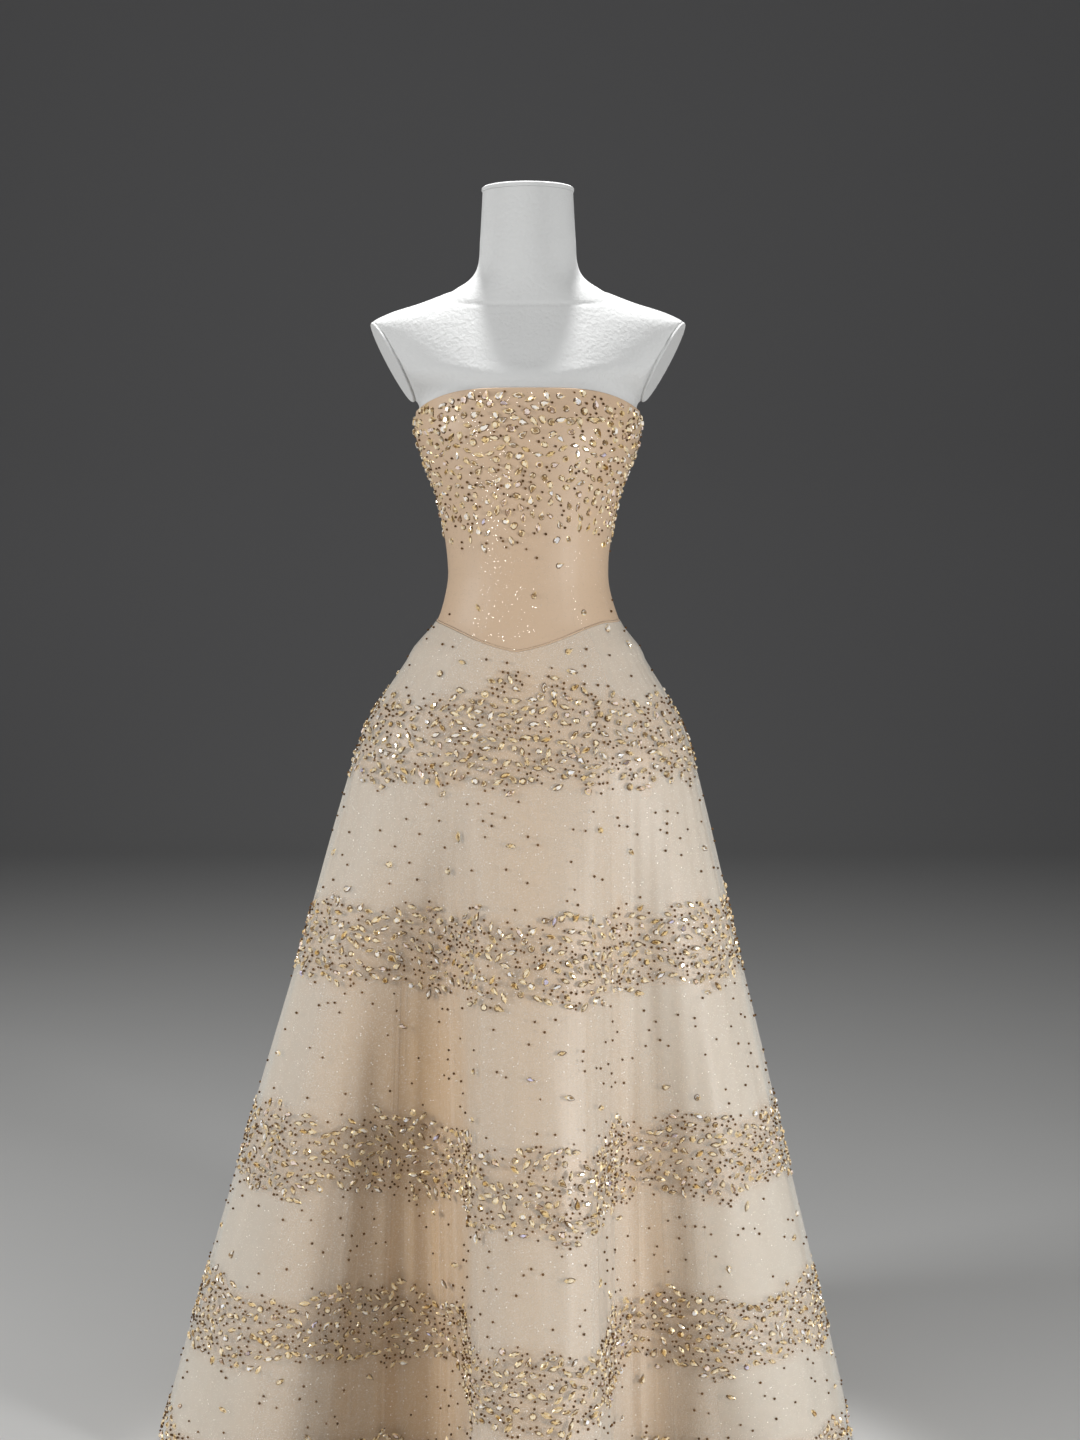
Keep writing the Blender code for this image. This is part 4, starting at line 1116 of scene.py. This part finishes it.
def sewing_tree():
    """Sets a shape at every point, turned to the cloth by the point's own two directions."""
    inputs = (("Points", "Geometry"), ("Shape", "Object"), ("Finish", "Material"), ("Size", "Float"))
    outputs = (("Sewn", "Geometry"),)
    tree, given, result = new_group("sewn_at_points", "GeometryNodeTree", inputs, outputs)
    shape = node(tree, "GeometryNodeObjectInfo", Object=given.outputs["Shape"])
    fields = {}
    for name, kind in (("facing", "FLOAT_VECTOR"), ("along", "FLOAT_VECTOR"), ("size", "FLOAT")):
        field = node(tree, "GeometryNodeInputNamedAttribute", {"data_type": kind}, Name=name)
        fields[name] = field.outputs["Attribute"]
    axes = {"primary_axis": "Z", "secondary_axis": "X"}
    turned = node(tree, "FunctionNodeAxesToRotation", axes, _0=fields["facing"], _1=fields["along"])
    placed = node(
        tree,
        "GeometryNodeInstanceOnPoints",
        Points=given.outputs["Points"],
        Instance=shape.outputs["Geometry"],
        Rotation=turned.outputs[0],
        Scale=joined(tree, "MULTIPLY", fields["size"], given.outputs["Size"]),
    )
    real = node(tree, "GeometryNodeRealizeInstances", Geometry=placed.outputs[0])
    finish = given.outputs["Finish"]
    done = node(tree, "GeometryNodeSetMaterial", Geometry=real.outputs[0], Material=finish)
    tree.links.new(done.outputs[0], result.inputs[0])
    return tree


SEWING = sewing_tree()


def sew(name, points, facings, alongs, sizes, tints, shape, material, slot):
    """One plain mesh of a shape sewn at every point, with the points' tints kept on it."""
    mesh = bpy.data.meshes.new(name + "_points")
    mesh.from_pydata(points.tolist(), [], [])
    for key, values in (("facing", facings), ("along", alongs)):
        layer = mesh.attributes.new(key, "FLOAT_VECTOR", "POINT")
        layer.data.foreach_set("vector", values.astype(np.float32).ravel())
    for key, values in (("size", sizes), ("tint", tints)):
        layer = mesh.attributes.new(key, "FLOAT", "POINT")
        layer.data.foreach_set("value", values.astype(np.float32))
    holder = in_scene(name + "_points", mesh)
    modifier = holder.modifiers.new("sewing", "NODES")
    modifier.node_group = SEWING
    values = {"Shape": shape, "Finish": material, "Size": 1.0}
    for item in SEWING.interface.items_tree:
        if item.in_out == "INPUT" and item.name in values:
            modifier[item.identifier] = values[item.name]
    graph = bpy.context.evaluated_depsgraph_get()
    graph.update()
    sewn = holder.evaluated_get(graph)
    result = bpy.data.meshes.new_from_object(sewn, preserve_all_data_layers=True, depsgraph=graph)
    bpy.data.objects.remove(holder)
    result.name = name
    piece = in_scene(name, result)
    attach(piece, WHOLE)


def shape_mesh(name, points, faces, smooth):
    """A shape to sew on, which is taken away when all of it is sewn."""
    mesh = bpy.data.meshes.new(name)
    mesh.from_pydata(points, [], faces)
    if smooth:
        mesh.shade_smooth()
    return in_scene(name, mesh)


def coil_tooth():
    """One turn of the coil: a short bar, narrower on its outer side."""
    wide, deep, high = COIL_HALF
    points = []
    for z, share in ((-deep, 1.0), (deep, 0.6)):
        for x, y in ((-1, -1), (1, -1), (1, 1), (-1, 1)):
            points.append((x * wide, y * high * share, z))
    faces = [(3, 2, 1, 0), (4, 5, 6, 7)]
    faces += [(k, (k + 1) % 4, (k + 1) % 4 + 4, k + 4) for k in range(4)]
    return shape_mesh("coil_tooth", points, faces, smooth=False)


def build_zip():
    finish_solids(("zip_tape_left", "zip_tape_right"), tape_material())
    finish_solids(("zip_slider", "zip_pull_tab"), lacquer_material())
    tooth = coil_tooth()
    nylon = mottled("zip_coil_nylon", 0.4, COIL_COLOUR, 0.85, 500.0, Coat_Weight=0.3)[0]
    for name, side, start in (("left", 1, 0.5 * COIL_PITCH), ("right", -1, 0.0)):
        z = np.arange(ZIP_END_Z, ZIP_TOP_Z, COIL_PITCH) + start
        angle = CENTRE_BACK + 0.0 * z
        out = facing(on_figure, angle, z, *FIGURE_NEAR)
        points = on_figure(angle, z) - COIL_INSET * out
        points[:, 0] = side * COIL_FROM_SEAM
        along = np.broadcast_to((1.0, 0.0, 0.0), points.shape)
        sizes = np.ones(len(z))
        sew("zip_coil_" + name, points, out, along, sizes, sizes, tooth, nylon, "zip_tape")
    bpy.data.objects.remove(tooth)


build_zip()

# The beadwork is sewn through the tulle by hand: foiled crystals in gilt settings, cut as boats,
# pears, rounds and ovals, with dark bronze seed beads between them. It covers the top of the
# bodice and thins out below, and rings the skirt in five uneven bands.
Cut = namedtuple("Cut", "name outline rim_height height table")
BOAT_SIDE = [(6.1, 0.0), (3.8, 1.9), (0.0, 2.9), (-3.8, 1.9)]
PEAR_SIDE = [(2.6, 2.1), (-0.8, 3.5), (-3.5, 2.6)]
OVAL_FRONT = [(4.9, -0.6), (3.5, 2.6), (0.3, 3.5), (-3.2, 2.9)]
OVAL_BACK = [(-4.6, 0.3), (-3.6, -2.7), (-0.2, -3.4), (3.4, -2.8)]
ROUND_RADIUS = 3.9
EIGHTHS = [k * math.pi / 4 for k in range(8)]
BOAT = BOAT_SIDE + [(-x, -y) for x, y in BOAT_SIDE]
DROP = [(6.3, 0.0), *PEAR_SIDE, (-4.6, 0.0), *((x, -y) for x, y in reversed(PEAR_SIDE))]
CIRCLE = [(ROUND_RADIUS * math.cos(turn), ROUND_RADIUS * math.sin(turn)) for turn in EIGHTHS]
NAVETTE = Cut("navette", BOAT, 0.9, 2.3, 0.42)
PEAR = Cut("pear", DROP, 1.0, 2.7, 0.45)
ROUND = Cut("round", CIRCLE, 0.9, 2.5, 0.48)
OVAL = Cut("oval", OVAL_FRONT + OVAL_BACK, 1.0, 2.9, 0.5)
SETTING = 0.71
FACET_CHANCE = 12.9898
SUNK = 0.0003
BEAD_RADIUS = 0.00145
MM = 0.001
CHAMPAGNE = (0.93, 0.80, 0.57)
CLEAR = (0.97, 0.92, 0.84)
AMBER = (0.84, 0.62, 0.30)
ROSE = (0.94, 0.80, 0.74)
LILAC = (0.70, 0.66, 0.86)
ICE = (0.97, 0.97, 0.99)
# The two gilt colours are painted: a dark reflection and a glint, chosen face by face.
GILT_PAINTED_DARK_REFLECTION = (0.13, 0.066, 0.022)
GILT_PAINTED_GLINT = (0.90, 0.70, 0.38)
BRONZE = (0.080, 0.040, 0.013)
STONE_TINTS = (
    (0.0, CHAMPAGNE),
    (0.44, CLEAR),
    (0.62, AMBER),
    (0.74, ROSE),
    (0.88, LILAC),
    (0.94, ICE),
)
# Painted reflections: each facet of a stone is painted dark, mid or white by chance.
FACET_PAINTED_REFLECTIONS = ((0.0, (0.28, 0.185, 0.09)), (0.28, (0.80, 0.67, 0.47)), (0.54, (1.0, 1.0, 1.0)))
GILT_GLINT_PAINTED_ABOVE = 0.58


def crystal(cut):
    """A cut stone in its setting: a gilt rim, a ring of facets and a flat table."""
    count = len(cut.outline)
    tip = max(x for x, _ in cut.outline)
    levels = ((1.0, 0.0), (SETTING, cut.rim_height), (cut.table, cut.height))
    points = []
    for scale, height in levels:
        points += [(x * scale * MM, y * scale * MM, height * MM - SUNK) for x, y in cut.outline]
    faces = [tuple(range(count - 1, -1, -1)), tuple(range(2 * count, 3 * count))]
    for level in range(2):
        for k in range(count):
            n = (k + 1) % count
            a, b = level * count + k, level * count + n
            faces.append((a, b, b + count, a + count))
    shape = shape_mesh("crystal_" + cut.name, points, faces, smooth=False)
    rim = shape.data.attributes.new("rim", "FLOAT", "FACE")
    facet = shape.data.attributes.new("facet", "FLOAT", "FACE")
    for place, face in enumerate(faces):
        rim.data[place].value = 1.0 if min(face) < count else 0.0
        facet.data[place].value = math.sin(FACET_CHANCE * (place + tip)) * 0.5 + 0.5
    return shape


def seed_bead():
    """A small faceted bead, a little flatter than it is wide."""
    golden = (1 + math.sqrt(5)) / 2
    corners = []
    for a in (-1, 1):
        for b in (-golden, golden):
            corners += [(0, a, b), (a, b, 0), (b, 0, a)]
    corners = [Vector(corner).normalized() * BEAD_RADIUS for corner in corners]
    side = min((corners[0] - other).length for other in corners[1:])
    faces = []
    for i in range(12):
        for j in range(i + 1, 12):
            for k in range(j + 1, 12):
                a, b, c = corners[i], corners[j], corners[k]
                if max((a - b).length, (b - c).length, (a - c).length) < 1.1 * side:
                    out = (b - a).cross(c - a).dot(a) > 0
                    faces.append((i, j, k) if out else (i, k, j))
    points = [(p.x, p.y, 0.85 * p.z + 0.7 * BEAD_RADIUS) for p in corners]
    return shape_mesh("seed_bead", points, faces, smooth=True)


def stepped_colours(tree, value, stops):
    """A colour chosen by a value from stops, each given as its start and colour."""
    ramp = node(tree, "ShaderNodeValToRGB", Fac=value)
    ramp.color_ramp.interpolation = "CONSTANT"
    ramp.color_ramp.elements[1].position = stops[1][0]
    for start, _ in stops[2:]:
        ramp.color_ramp.elements.new(start)
    for element, (_, colour) in zip(ramp.color_ramp.elements, stops):
        element.color = (*colour, 1.0)
    return ramp.outputs[0]


def crystal_material():
    """Foiled stone in a rim of gilt metal, with painted reflections: by chance each facet is painted
    dark, mid or white, and each face of the rim dark or glinting.
    """
    material, tree, shader = new_material("foiled_crystal", 0.08, Coat_Weight=0.5)
    rim, tint, facet = (attribute(tree, name) for name in ("rim", "tint", "facet"))
    pair = node(tree, "ShaderNodeCombineXYZ", _0=facet, _1=tint).outputs[0]
    noisy = {"noise_dimensions": "3D"}
    chance = node(tree, "ShaderNodeTexWhiteNoise", noisy, Vector=pair).outputs["Value"]
    # Painted reflections: the stone's colour is darkened or whitened facet by facet.
    stone = stepped_colours(tree, tint, STONE_TINTS)
    stone = blend(tree, 1.0, stone, stepped_colours(tree, chance, FACET_PAINTED_REFLECTIONS), "MULTIPLY")
    # Painted glint: rim faces above the chance value are painted bright gold, the rest dark.
    painted_glint = joined(tree, "GREATER_THAN", chance, GILT_GLINT_PAINTED_ABOVE)
    colour = blend(tree, rim, stone, blend(tree, painted_glint, GILT_PAINTED_DARK_REFLECTION, GILT_PAINTED_GLINT))
    metal = ranged(tree, rim, 0.05, 0.35)
    rough = ranged(tree, rim, 0.07, 0.36)
    wire(tree, shader, Base_Color=colour, Metallic=metal, Roughness=rough)
    return material


def bead_material():
    material, tree, shader = new_material("bronze_seed_bead", 0.45, Specular_IOR_Level=0.10)
    colour = blend(tree, attribute(tree, "tint"), BRONZE, scaled(BRONZE, 1.9))
    wire(tree, shader, Base_Color=colour)
    return material


class Sown:
    """What is already sewn on, so that nothing new is set on top of it."""

    def __init__(self, cell):
        self.cell = cell
        self.kept = {}

    def take(self, point, room):
        """Keeps the point if it has that much room to every point kept so far."""
        home = tuple(int(math.floor(c / self.cell)) for c in point)
        for dx in (-1, 0, 1):
            for dy in (-1, 0, 1):
                for dz in (-1, 0, 1):
                    near = self.kept.get((home[0] + dx, home[1] + dy, home[2] + dz), ())
                    for other, other_room in near:
                        if math.dist(point, other) < (room + other_room) / 2:
                            return False
        self.kept.setdefault(home, []).append((point, room))
        return True


def sow(ground, density, room, sown, rng):
    """Places on a ground, as thick as density asks for and with room round each.

    A ground is a surface, its values across and down, and the short steps to find its slope.
    """
    face, across, down, _ = ground
    u, v = np.meshgrid(across, down)
    corner = face(u, v)
    wide = np.linalg.norm(np.diff(corner, axis=1)[:-1], axis=2)
    tall = np.linalg.norm(np.diff(corner, axis=0)[:, :-1], axis=2)
    u, v = (u[:-1, :-1] + u[1:, 1:]) / 2, (v[:-1, :-1] + v[1:, 1:]) / 2
    expected = (wide * tall * density(u, v)).ravel()
    count = int(round(expected.sum()))
    chances = expected / expected.sum()
    tries = rng.choice(expected.size, size=TRIES_FOR_EACH * count, p=chances)
    u = u.ravel()[tries] + (rng.random(len(tries)) - 0.5) * (across[1] - across[0])
    v = v.ravel()[tries] + (rng.random(len(tries)) - 0.5) * (down[1] - down[0])
    points = face(u, v)
    kept = []
    for k, point in enumerate(points.tolist()):
        if len(kept) < count and sown.take(point, room):
            kept.append(k)
    return u[kept], v[kept]


def sow_both(ground, thick, room, lone, lone_room, sown, rng):
    """Dense work, then lone stones or beads between it."""
    u, v = sow(ground, thick, room, sown, rng)
    lone_u, lone_v = sow(ground, lone, lone_room, sown, rng)
    return np.append(u, lone_u), np.append(v, lone_v)


def directions(ground, u, v, turn):
    """Where a stone faces, and where its long side points: turn is measured from level."""
    face, _, _, steps = ground
    out = facing(face, u, v, *steps)
    level = face(u + steps[0], v) - face(u - steps[0], v)
    level /= np.linalg.norm(level, axis=1, keepdims=True)
    drop = np.cross(level, out)
    return out, np.cos(turn)[:, None] * level + np.sin(turn)[:, None] * drop


def tints_of(rng, count, shares):
    """A random tint for each stone: the colours of STONE_TINTS have these shares, in percent."""
    starts = np.array([start for start, _ in STONE_TINTS] + [1.0])
    drawn = rng.choice(len(shares), size=count, p=np.array(shares) / sum(shares))
    return starts[drawn] + (starts[drawn + 1] - starts[drawn]) * rng.random(count)


def sew_stones(label, ground, u, v, turn, sizes, tints, shares, rng, shapes, finish):
    """Shares the sown places out between the cuts and sews each cut on as one piece."""
    out, along = directions(ground, u, v, turn)
    points = ground[0](u, v)
    drawn = rng.choice(len(shares), size=len(u), p=list(shares.values()))
    for number, cut in enumerate(shares):
        mine = drawn == number
        picked = (points[mine], out[mine], along[mine], sizes[mine], tints[mine])
        sew(label + "_crystals_" + cut, *picked, shapes[cut], finish, "crystal_champagne")


def sew_beads(label, ground, u, v, sizes, tints, shape, finish):
    out, along = directions(ground, u, v, 0.0 * u)
    picked = (ground[0](u, v), out, along, sizes, tints)
    sew(label + "_seed_beads", *picked, shape, finish, "bead_bronze")


STRING_PITCH = 0.019
STONE_ROOM = 0.0098
BEAD_ROOM = 0.0042
LONE_STONES = 90.0
LONE_STONE_ROOM = 0.03
LONE_BEADS = 680.0
LONE_BEAD_ROOM = 0.010
ZIP_CLEAR = 0.008
BACK_METRES_A_DEGREE = 0.0016
BODICE_DENSE_Z = 1.218
BODICE_THIN_Z = 1.162
BODICE_ROOM = 0.0104
BODICE_STONES = 4500.0
LINE_Z = 1.286
LINE_WAVE = 0.006
LINE_WAVES = 11
LINE_STEP = 6.4
BUST_RADIUS = 0.125
HANGING_DOWN = 0.42
BODICE_LONE = 110.0
BODICE_BEADS = 2400.0


def strings(place, z, phase):
    """Stones gather along wavy strings across each band."""
    wave = np.cos(2 * math.pi * (z - 1.4 * wander(place, phase + 0.8)) / STRING_PITCH)
    return 0.40 + 1.90 * np.maximum(wave, 0.0)


def clear_of_zip(place, z):
    """0 over the zip and right under the waist seam, and 1 elsewhere."""
    plain = on_skirt(place, z)
    by_zip = (np.abs(plain[..., 0]) < ZIP_CLEAR) & (plain[..., 1] > 0) & (z > ZIP_END_Z - 0.01)
    under_seam = skirt_top(place) - z < 0.007
    return np.where(by_zip | under_seam, 0.0, 1.0)


def band_stones(place, z):
    thick = sum(b.stones * in_band(place, z, b) * strings(place, z, b.phase) for b in BANDS)
    return thick * clear_of_zip(place, z)


def band_beads(place, z):
    return sum(b.beads * in_band(place, z, b) for b in BANDS) * clear_of_zip(place, z)


def between_bands(place, z):
    inside = sum(in_band(place, z, b) for b in BANDS)
    return np.clip(1.0 - 1.5 * inside, 0.0, 1.0) * clear_of_zip(place, z)


def lone_stones(place, z):
    return LONE_STONES * between_bands(place, z)


def lone_beads(place, z):
    return LONE_BEADS * between_bands(place, z)


def sewn_on_skirt(place, z):
    return tulle_face(place, z, TULLE_THICKNESS)


def by_bodice_zip(turn):
    return (np.minimum(turn, 360 - turn) * BACK_METRES_A_DEGREE) < ZIP_CLEAR


def bodice_cover(turn, down):
    """How thickly the bodice is covered: dense at the top, thinner below, bare at the waist."""
    z = on_bodice(turn, down)[..., 2]
    dense = smooth_step((z - BODICE_THIN_Z) / (BODICE_DENSE_Z - BODICE_THIN_Z))
    tongues = 0.016 * np.sin(np.radians(11 * turn)) + 0.009 * np.sin(np.radians(29 * turn + 40))
    dense = dense * smooth_step((z - BODICE_THIN_Z + 0.004 + tongues) / 0.012)
    edge = smooth_step((down - 0.014) / 0.02)
    return np.where(by_bodice_zip(turn), 0.0, dense * edge)


def bodice_line(turn):
    """Places down the bodice of a wavy line of boats, and how they slant along it."""
    angle = CENTRE_BACK + turn
    top = neckline_z(angle)
    wave = np.radians(LINE_WAVES * turn)
    z = LINE_Z + LINE_WAVE * np.sin(wave)
    slant = -np.arctan(LINE_WAVE * LINE_WAVES / BUST_RADIUS * np.cos(wave))
    return (top - z) / (top - waist_z(angle) - EDGE_TO_PIPING), slant


def bodice_lone(turn, down):
    """The few stones and beads scattered over the bare waist."""
    covered = bodice_cover(turn, down) >= 0.3
    near_edge = (down < 0.03) | (down > 0.965)
    return np.where(by_bodice_zip(turn) | near_edge | covered, 0.0, BODICE_LONE)


def bodice_stones(turn, down):
    return BODICE_STONES * bodice_cover(turn, down)


def bodice_beads(turn, down):
    return BODICE_BEADS * bodice_cover(turn, down) + bodice_lone(turn, down)


SEED = 4711
SOWN_CELL = 0.02
TRIES_FOR_EACH = 6
SOW_COLUMNS_A_FOLD = 8
SOW_ROWS = 260
SOW_BODICE_GRID = (360, 120)
STONE_SIZES = (1.0, 1.30)
LINE_SIZES = (1.05, 1.25)
BODICE_STONE_SIZES = (1.0, 1.34)
LARGER_AT_TOP = 0.20
BEAD_SIZES = (1.0, 1.32)
BODICE_BEAD_SIZES = (0.95, 1.30)
STONE_LEAN = math.radians(38)
BODICE_LEAN = math.radians(60)
SKIRT_CUTS = {"navette": 0.60, "pear": 0.22, "round": 0.18}
BODICE_CUTS = {"navette": 0.28, "pear": 0.30, "round": 0.18, "oval": 0.24}
SKIRT_TINTS = (54, 24, 9, 6, 1, 6)
BODICE_TINTS = (44, 28, 3, 18, 1, 6)


def build_beadwork():
    rng = np.random.default_rng(SEED)
    finish = crystal_material()
    bronze = bead_material()
    shapes = {cut.name: crystal(cut) for cut in (NAVETTE, PEAR, ROUND, OVAL)}
    bead = seed_bead()
    sown = Sown(SOWN_CELL)
    work = (rng, shapes, finish)

    places = spread(0.0, float(len(FOLDS)), SOW_COLUMNS_A_FOLD * len(FOLDS))
    heights = spread(HEM_Z + 0.004, WAIST_SIDE_Z, SOW_ROWS)
    skirt = (sewn_on_skirt, places, heights, SKIRT_NEAR)
    u, v = sow_both(skirt, band_stones, STONE_ROOM, lone_stones, LONE_STONE_ROOM, sown, rng)
    turn = rng.normal(0.0, STONE_LEAN, len(u))
    sizes = rng.uniform(*STONE_SIZES, len(u))
    tints = tints_of(rng, len(u), SKIRT_TINTS)
    sew_stones("skirt", skirt, u, v, turn, sizes, tints, SKIRT_CUTS, *work)

    u, v = sow_both(skirt, band_beads, BEAD_ROOM, lone_beads, LONE_BEAD_ROOM, sown, rng)
    sizes = rng.uniform(*BEAD_SIZES, len(u))
    sew_beads("skirt", skirt, u, v, sizes, rng.random(len(u)), bead, bronze)

    turns, downs = (spread(0.0, end, count) for end, count in zip((360.0, 1.0), SOW_BODICE_GRID))
    bodice = (bodice_face, turns, downs, BODICE_NEAR)
    u = np.arange(LINE_STEP, 360.0 - LINE_STEP, LINE_STEP)
    v, slant = bodice_line(u)
    points = bodice_face(u, v)
    for point in points.tolist():
        sown.take(point, BODICE_ROOM)
    sizes = rng.uniform(*LINE_SIZES, len(u))
    tints = tints_of(rng, len(u), SKIRT_TINTS)
    picked = (points, *directions(bodice, u, v, slant), sizes, tints, shapes["navette"], finish)
    sew("bodice_line_crystals_navette", *picked, "crystal_champagne")

    u, v = sow_both(bodice, bodice_stones, BODICE_ROOM, bodice_lone, LONE_STONE_ROOM, sown, rng)
    lean = rng.normal(0.0, BODICE_LEAN, len(u))
    turn = np.where(v > HANGING_DOWN, math.radians(-90) + 0.5 * lean, lean)
    larger = 1.0 + LARGER_AT_TOP * smooth_step((0.30 - v) / 0.2)
    sizes = rng.uniform(*BODICE_STONE_SIZES, len(u)) * larger
    tints = tints_of(rng, len(u), BODICE_TINTS)
    sew_stones("bodice", bodice, u, v, turn, sizes, tints, BODICE_CUTS, *work)

    u, v = sow(bodice, bodice_beads, BEAD_ROOM, sown, rng)
    sizes = rng.uniform(*BODICE_BEAD_SIZES, len(u))
    sew_beads("bodice", bodice, u, v, sizes, rng.random(len(u)), bead, bronze)
    for shape in (*shapes.values(), bead):
        bpy.data.objects.remove(shape)


build_beadwork()

# The stage is a plain pale floor that darkens away from the gown and sweeps up into a wall. Soft
# boxes light it: the key stands low on the wearer's left, so the front fold shades its right side.
FLOOR = (0.74, 0.74, 0.73)
BACKDROP = (0.20, 0.20, 0.205)
PALE_WITHIN = 1.1
DARK_FROM = 6.2
FLOOR_HALF = 12.0
SWEEP_Y = 6.0
SWEEP_RADIUS = 1.5
SWEEP_STEPS = 16
WALL_TOP = 8.0
LENS = 50.0
SENSOR = 36.0
TOP_AT = (0.0, 0.21, 2.7)
TOP_AIM = (0.0, -0.04, 1.40)
TOP_REACH = 0.30
TOP_WATTS = 145.0
CAMERA_AT = (0.015, -2.53, 1.215)
CAMERA_DOWN = 6.0
SKY = (0.90, 0.90, 0.90, 1.0)
SKY_STRENGTH = 0.22

SoftBox = namedtuple("SoftBox", "name place aim size watts spread", defaults=(180.0,))
SOFT_BOXES = [
    SoftBox("key", (2.0, -1.7, 0.75), (0.0, 0.0, 0.6), (0.4, 0.6), 22.0, 130.0),
    SoftBox("left", (-3.05, -1.0, 1.7), (0.0, 0.0, 0.6), (0.8, 1.1), 62.0),
    SoftBox("high", (0.1, -1.9, 2.5), (0.0, 0.0, 1.3), (0.6, 0.4), 9.4),
]


def build_stage():
    material, tree, shader = new_material("plain_floor", 0.75)
    place = own_place(tree)
    away = node(tree, "ShaderNodeVectorMath", {"operation": "LENGTH"}, _0=place).outputs["Value"]
    smooth = {"interpolation_type": "SMOOTHSTEP"}
    limits = {"From_Min": PALE_WITHIN, "From_Max": DARK_FROM}
    far = node(tree, "ShaderNodeMapRange", smooth, Value=away, **limits).outputs[0]
    colour = blend(tree, noise(tree, place, 3.0), FLOOR, scaled(FLOOR, 0.97))
    wire(tree, shader, Base_Color=blend(tree, far, colour, BACKDROP))
    profile = [(-FLOOR_HALF, 0.0)]
    for turn in spread(0.0, math.pi / 2, SWEEP_STEPS):
        y = SWEEP_Y - SWEEP_RADIUS + SWEEP_RADIUS * math.sin(turn)
        profile.append((y, SWEEP_RADIUS * (1 - math.cos(turn))))
    profile.append((SWEEP_Y, WALL_TOP))
    points = [(x, y, z) for y, z in profile for x in (-FLOOR_HALF, FLOOR_HALF)]
    faces = [(2 * k, 2 * k + 1, 2 * k + 3, 2 * k + 2) for k in range(len(profile) - 1)]
    add_mesh("studio_floor", points, faces, material)


def hang_lamp(light, place, aim):
    lamp = in_scene(light.name, light)
    lamp.location = place
    lamp.rotation_euler = (Vector(aim) - Vector(place)).to_track_quat("-Z", "Y").to_euler()


def soft_box(box):
    light = bpy.data.lights.new(box.name, "AREA")
    light.shape = "RECTANGLE"
    light.size, light.size_y = box.size
    light.energy = box.watts
    light.spread = math.radians(box.spread)
    hang_lamp(light, box.place, box.aim)


def build_top_light():
    """A narrow soft beam from above and behind: it rims the shoulders and shades the chest."""
    light = bpy.data.lights.new("top", "SPOT")
    light.energy = TOP_WATTS
    light.spot_size = 2 * math.atan(TOP_REACH / (TOP_AT[2] - TOP_AIM[2]))
    light.spot_blend = 0.5
    light.shadow_soft_size = 0.06
    hang_lamp(light, TOP_AT, TOP_AIM)


def build_camera():
    lens = bpy.data.cameras.new("camera")
    lens.lens = LENS
    lens.sensor_width = SENSOR
    camera = in_scene("camera", lens)
    camera.location = CAMERA_AT
    camera.rotation_euler = (math.radians(90 - CAMERA_DOWN), 0.0, 0.0)
    bpy.context.scene.camera = camera


build_stage()
for box in SOFT_BOXES:
    soft_box(box)
build_top_light()
world = bpy.data.worlds.new("studio")
world.use_nodes = True
sky = world.node_tree.nodes["Background"]
sky.inputs["Color"].default_value = SKY
sky.inputs["Strength"].default_value = SKY_STRENGTH
bpy.context.scene.world = world
bpy.context.scene.view_settings.view_transform = "Standard"
build_camera()

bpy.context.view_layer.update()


def plain(box):
    return [[float(c) for c in corner] for corner in box]
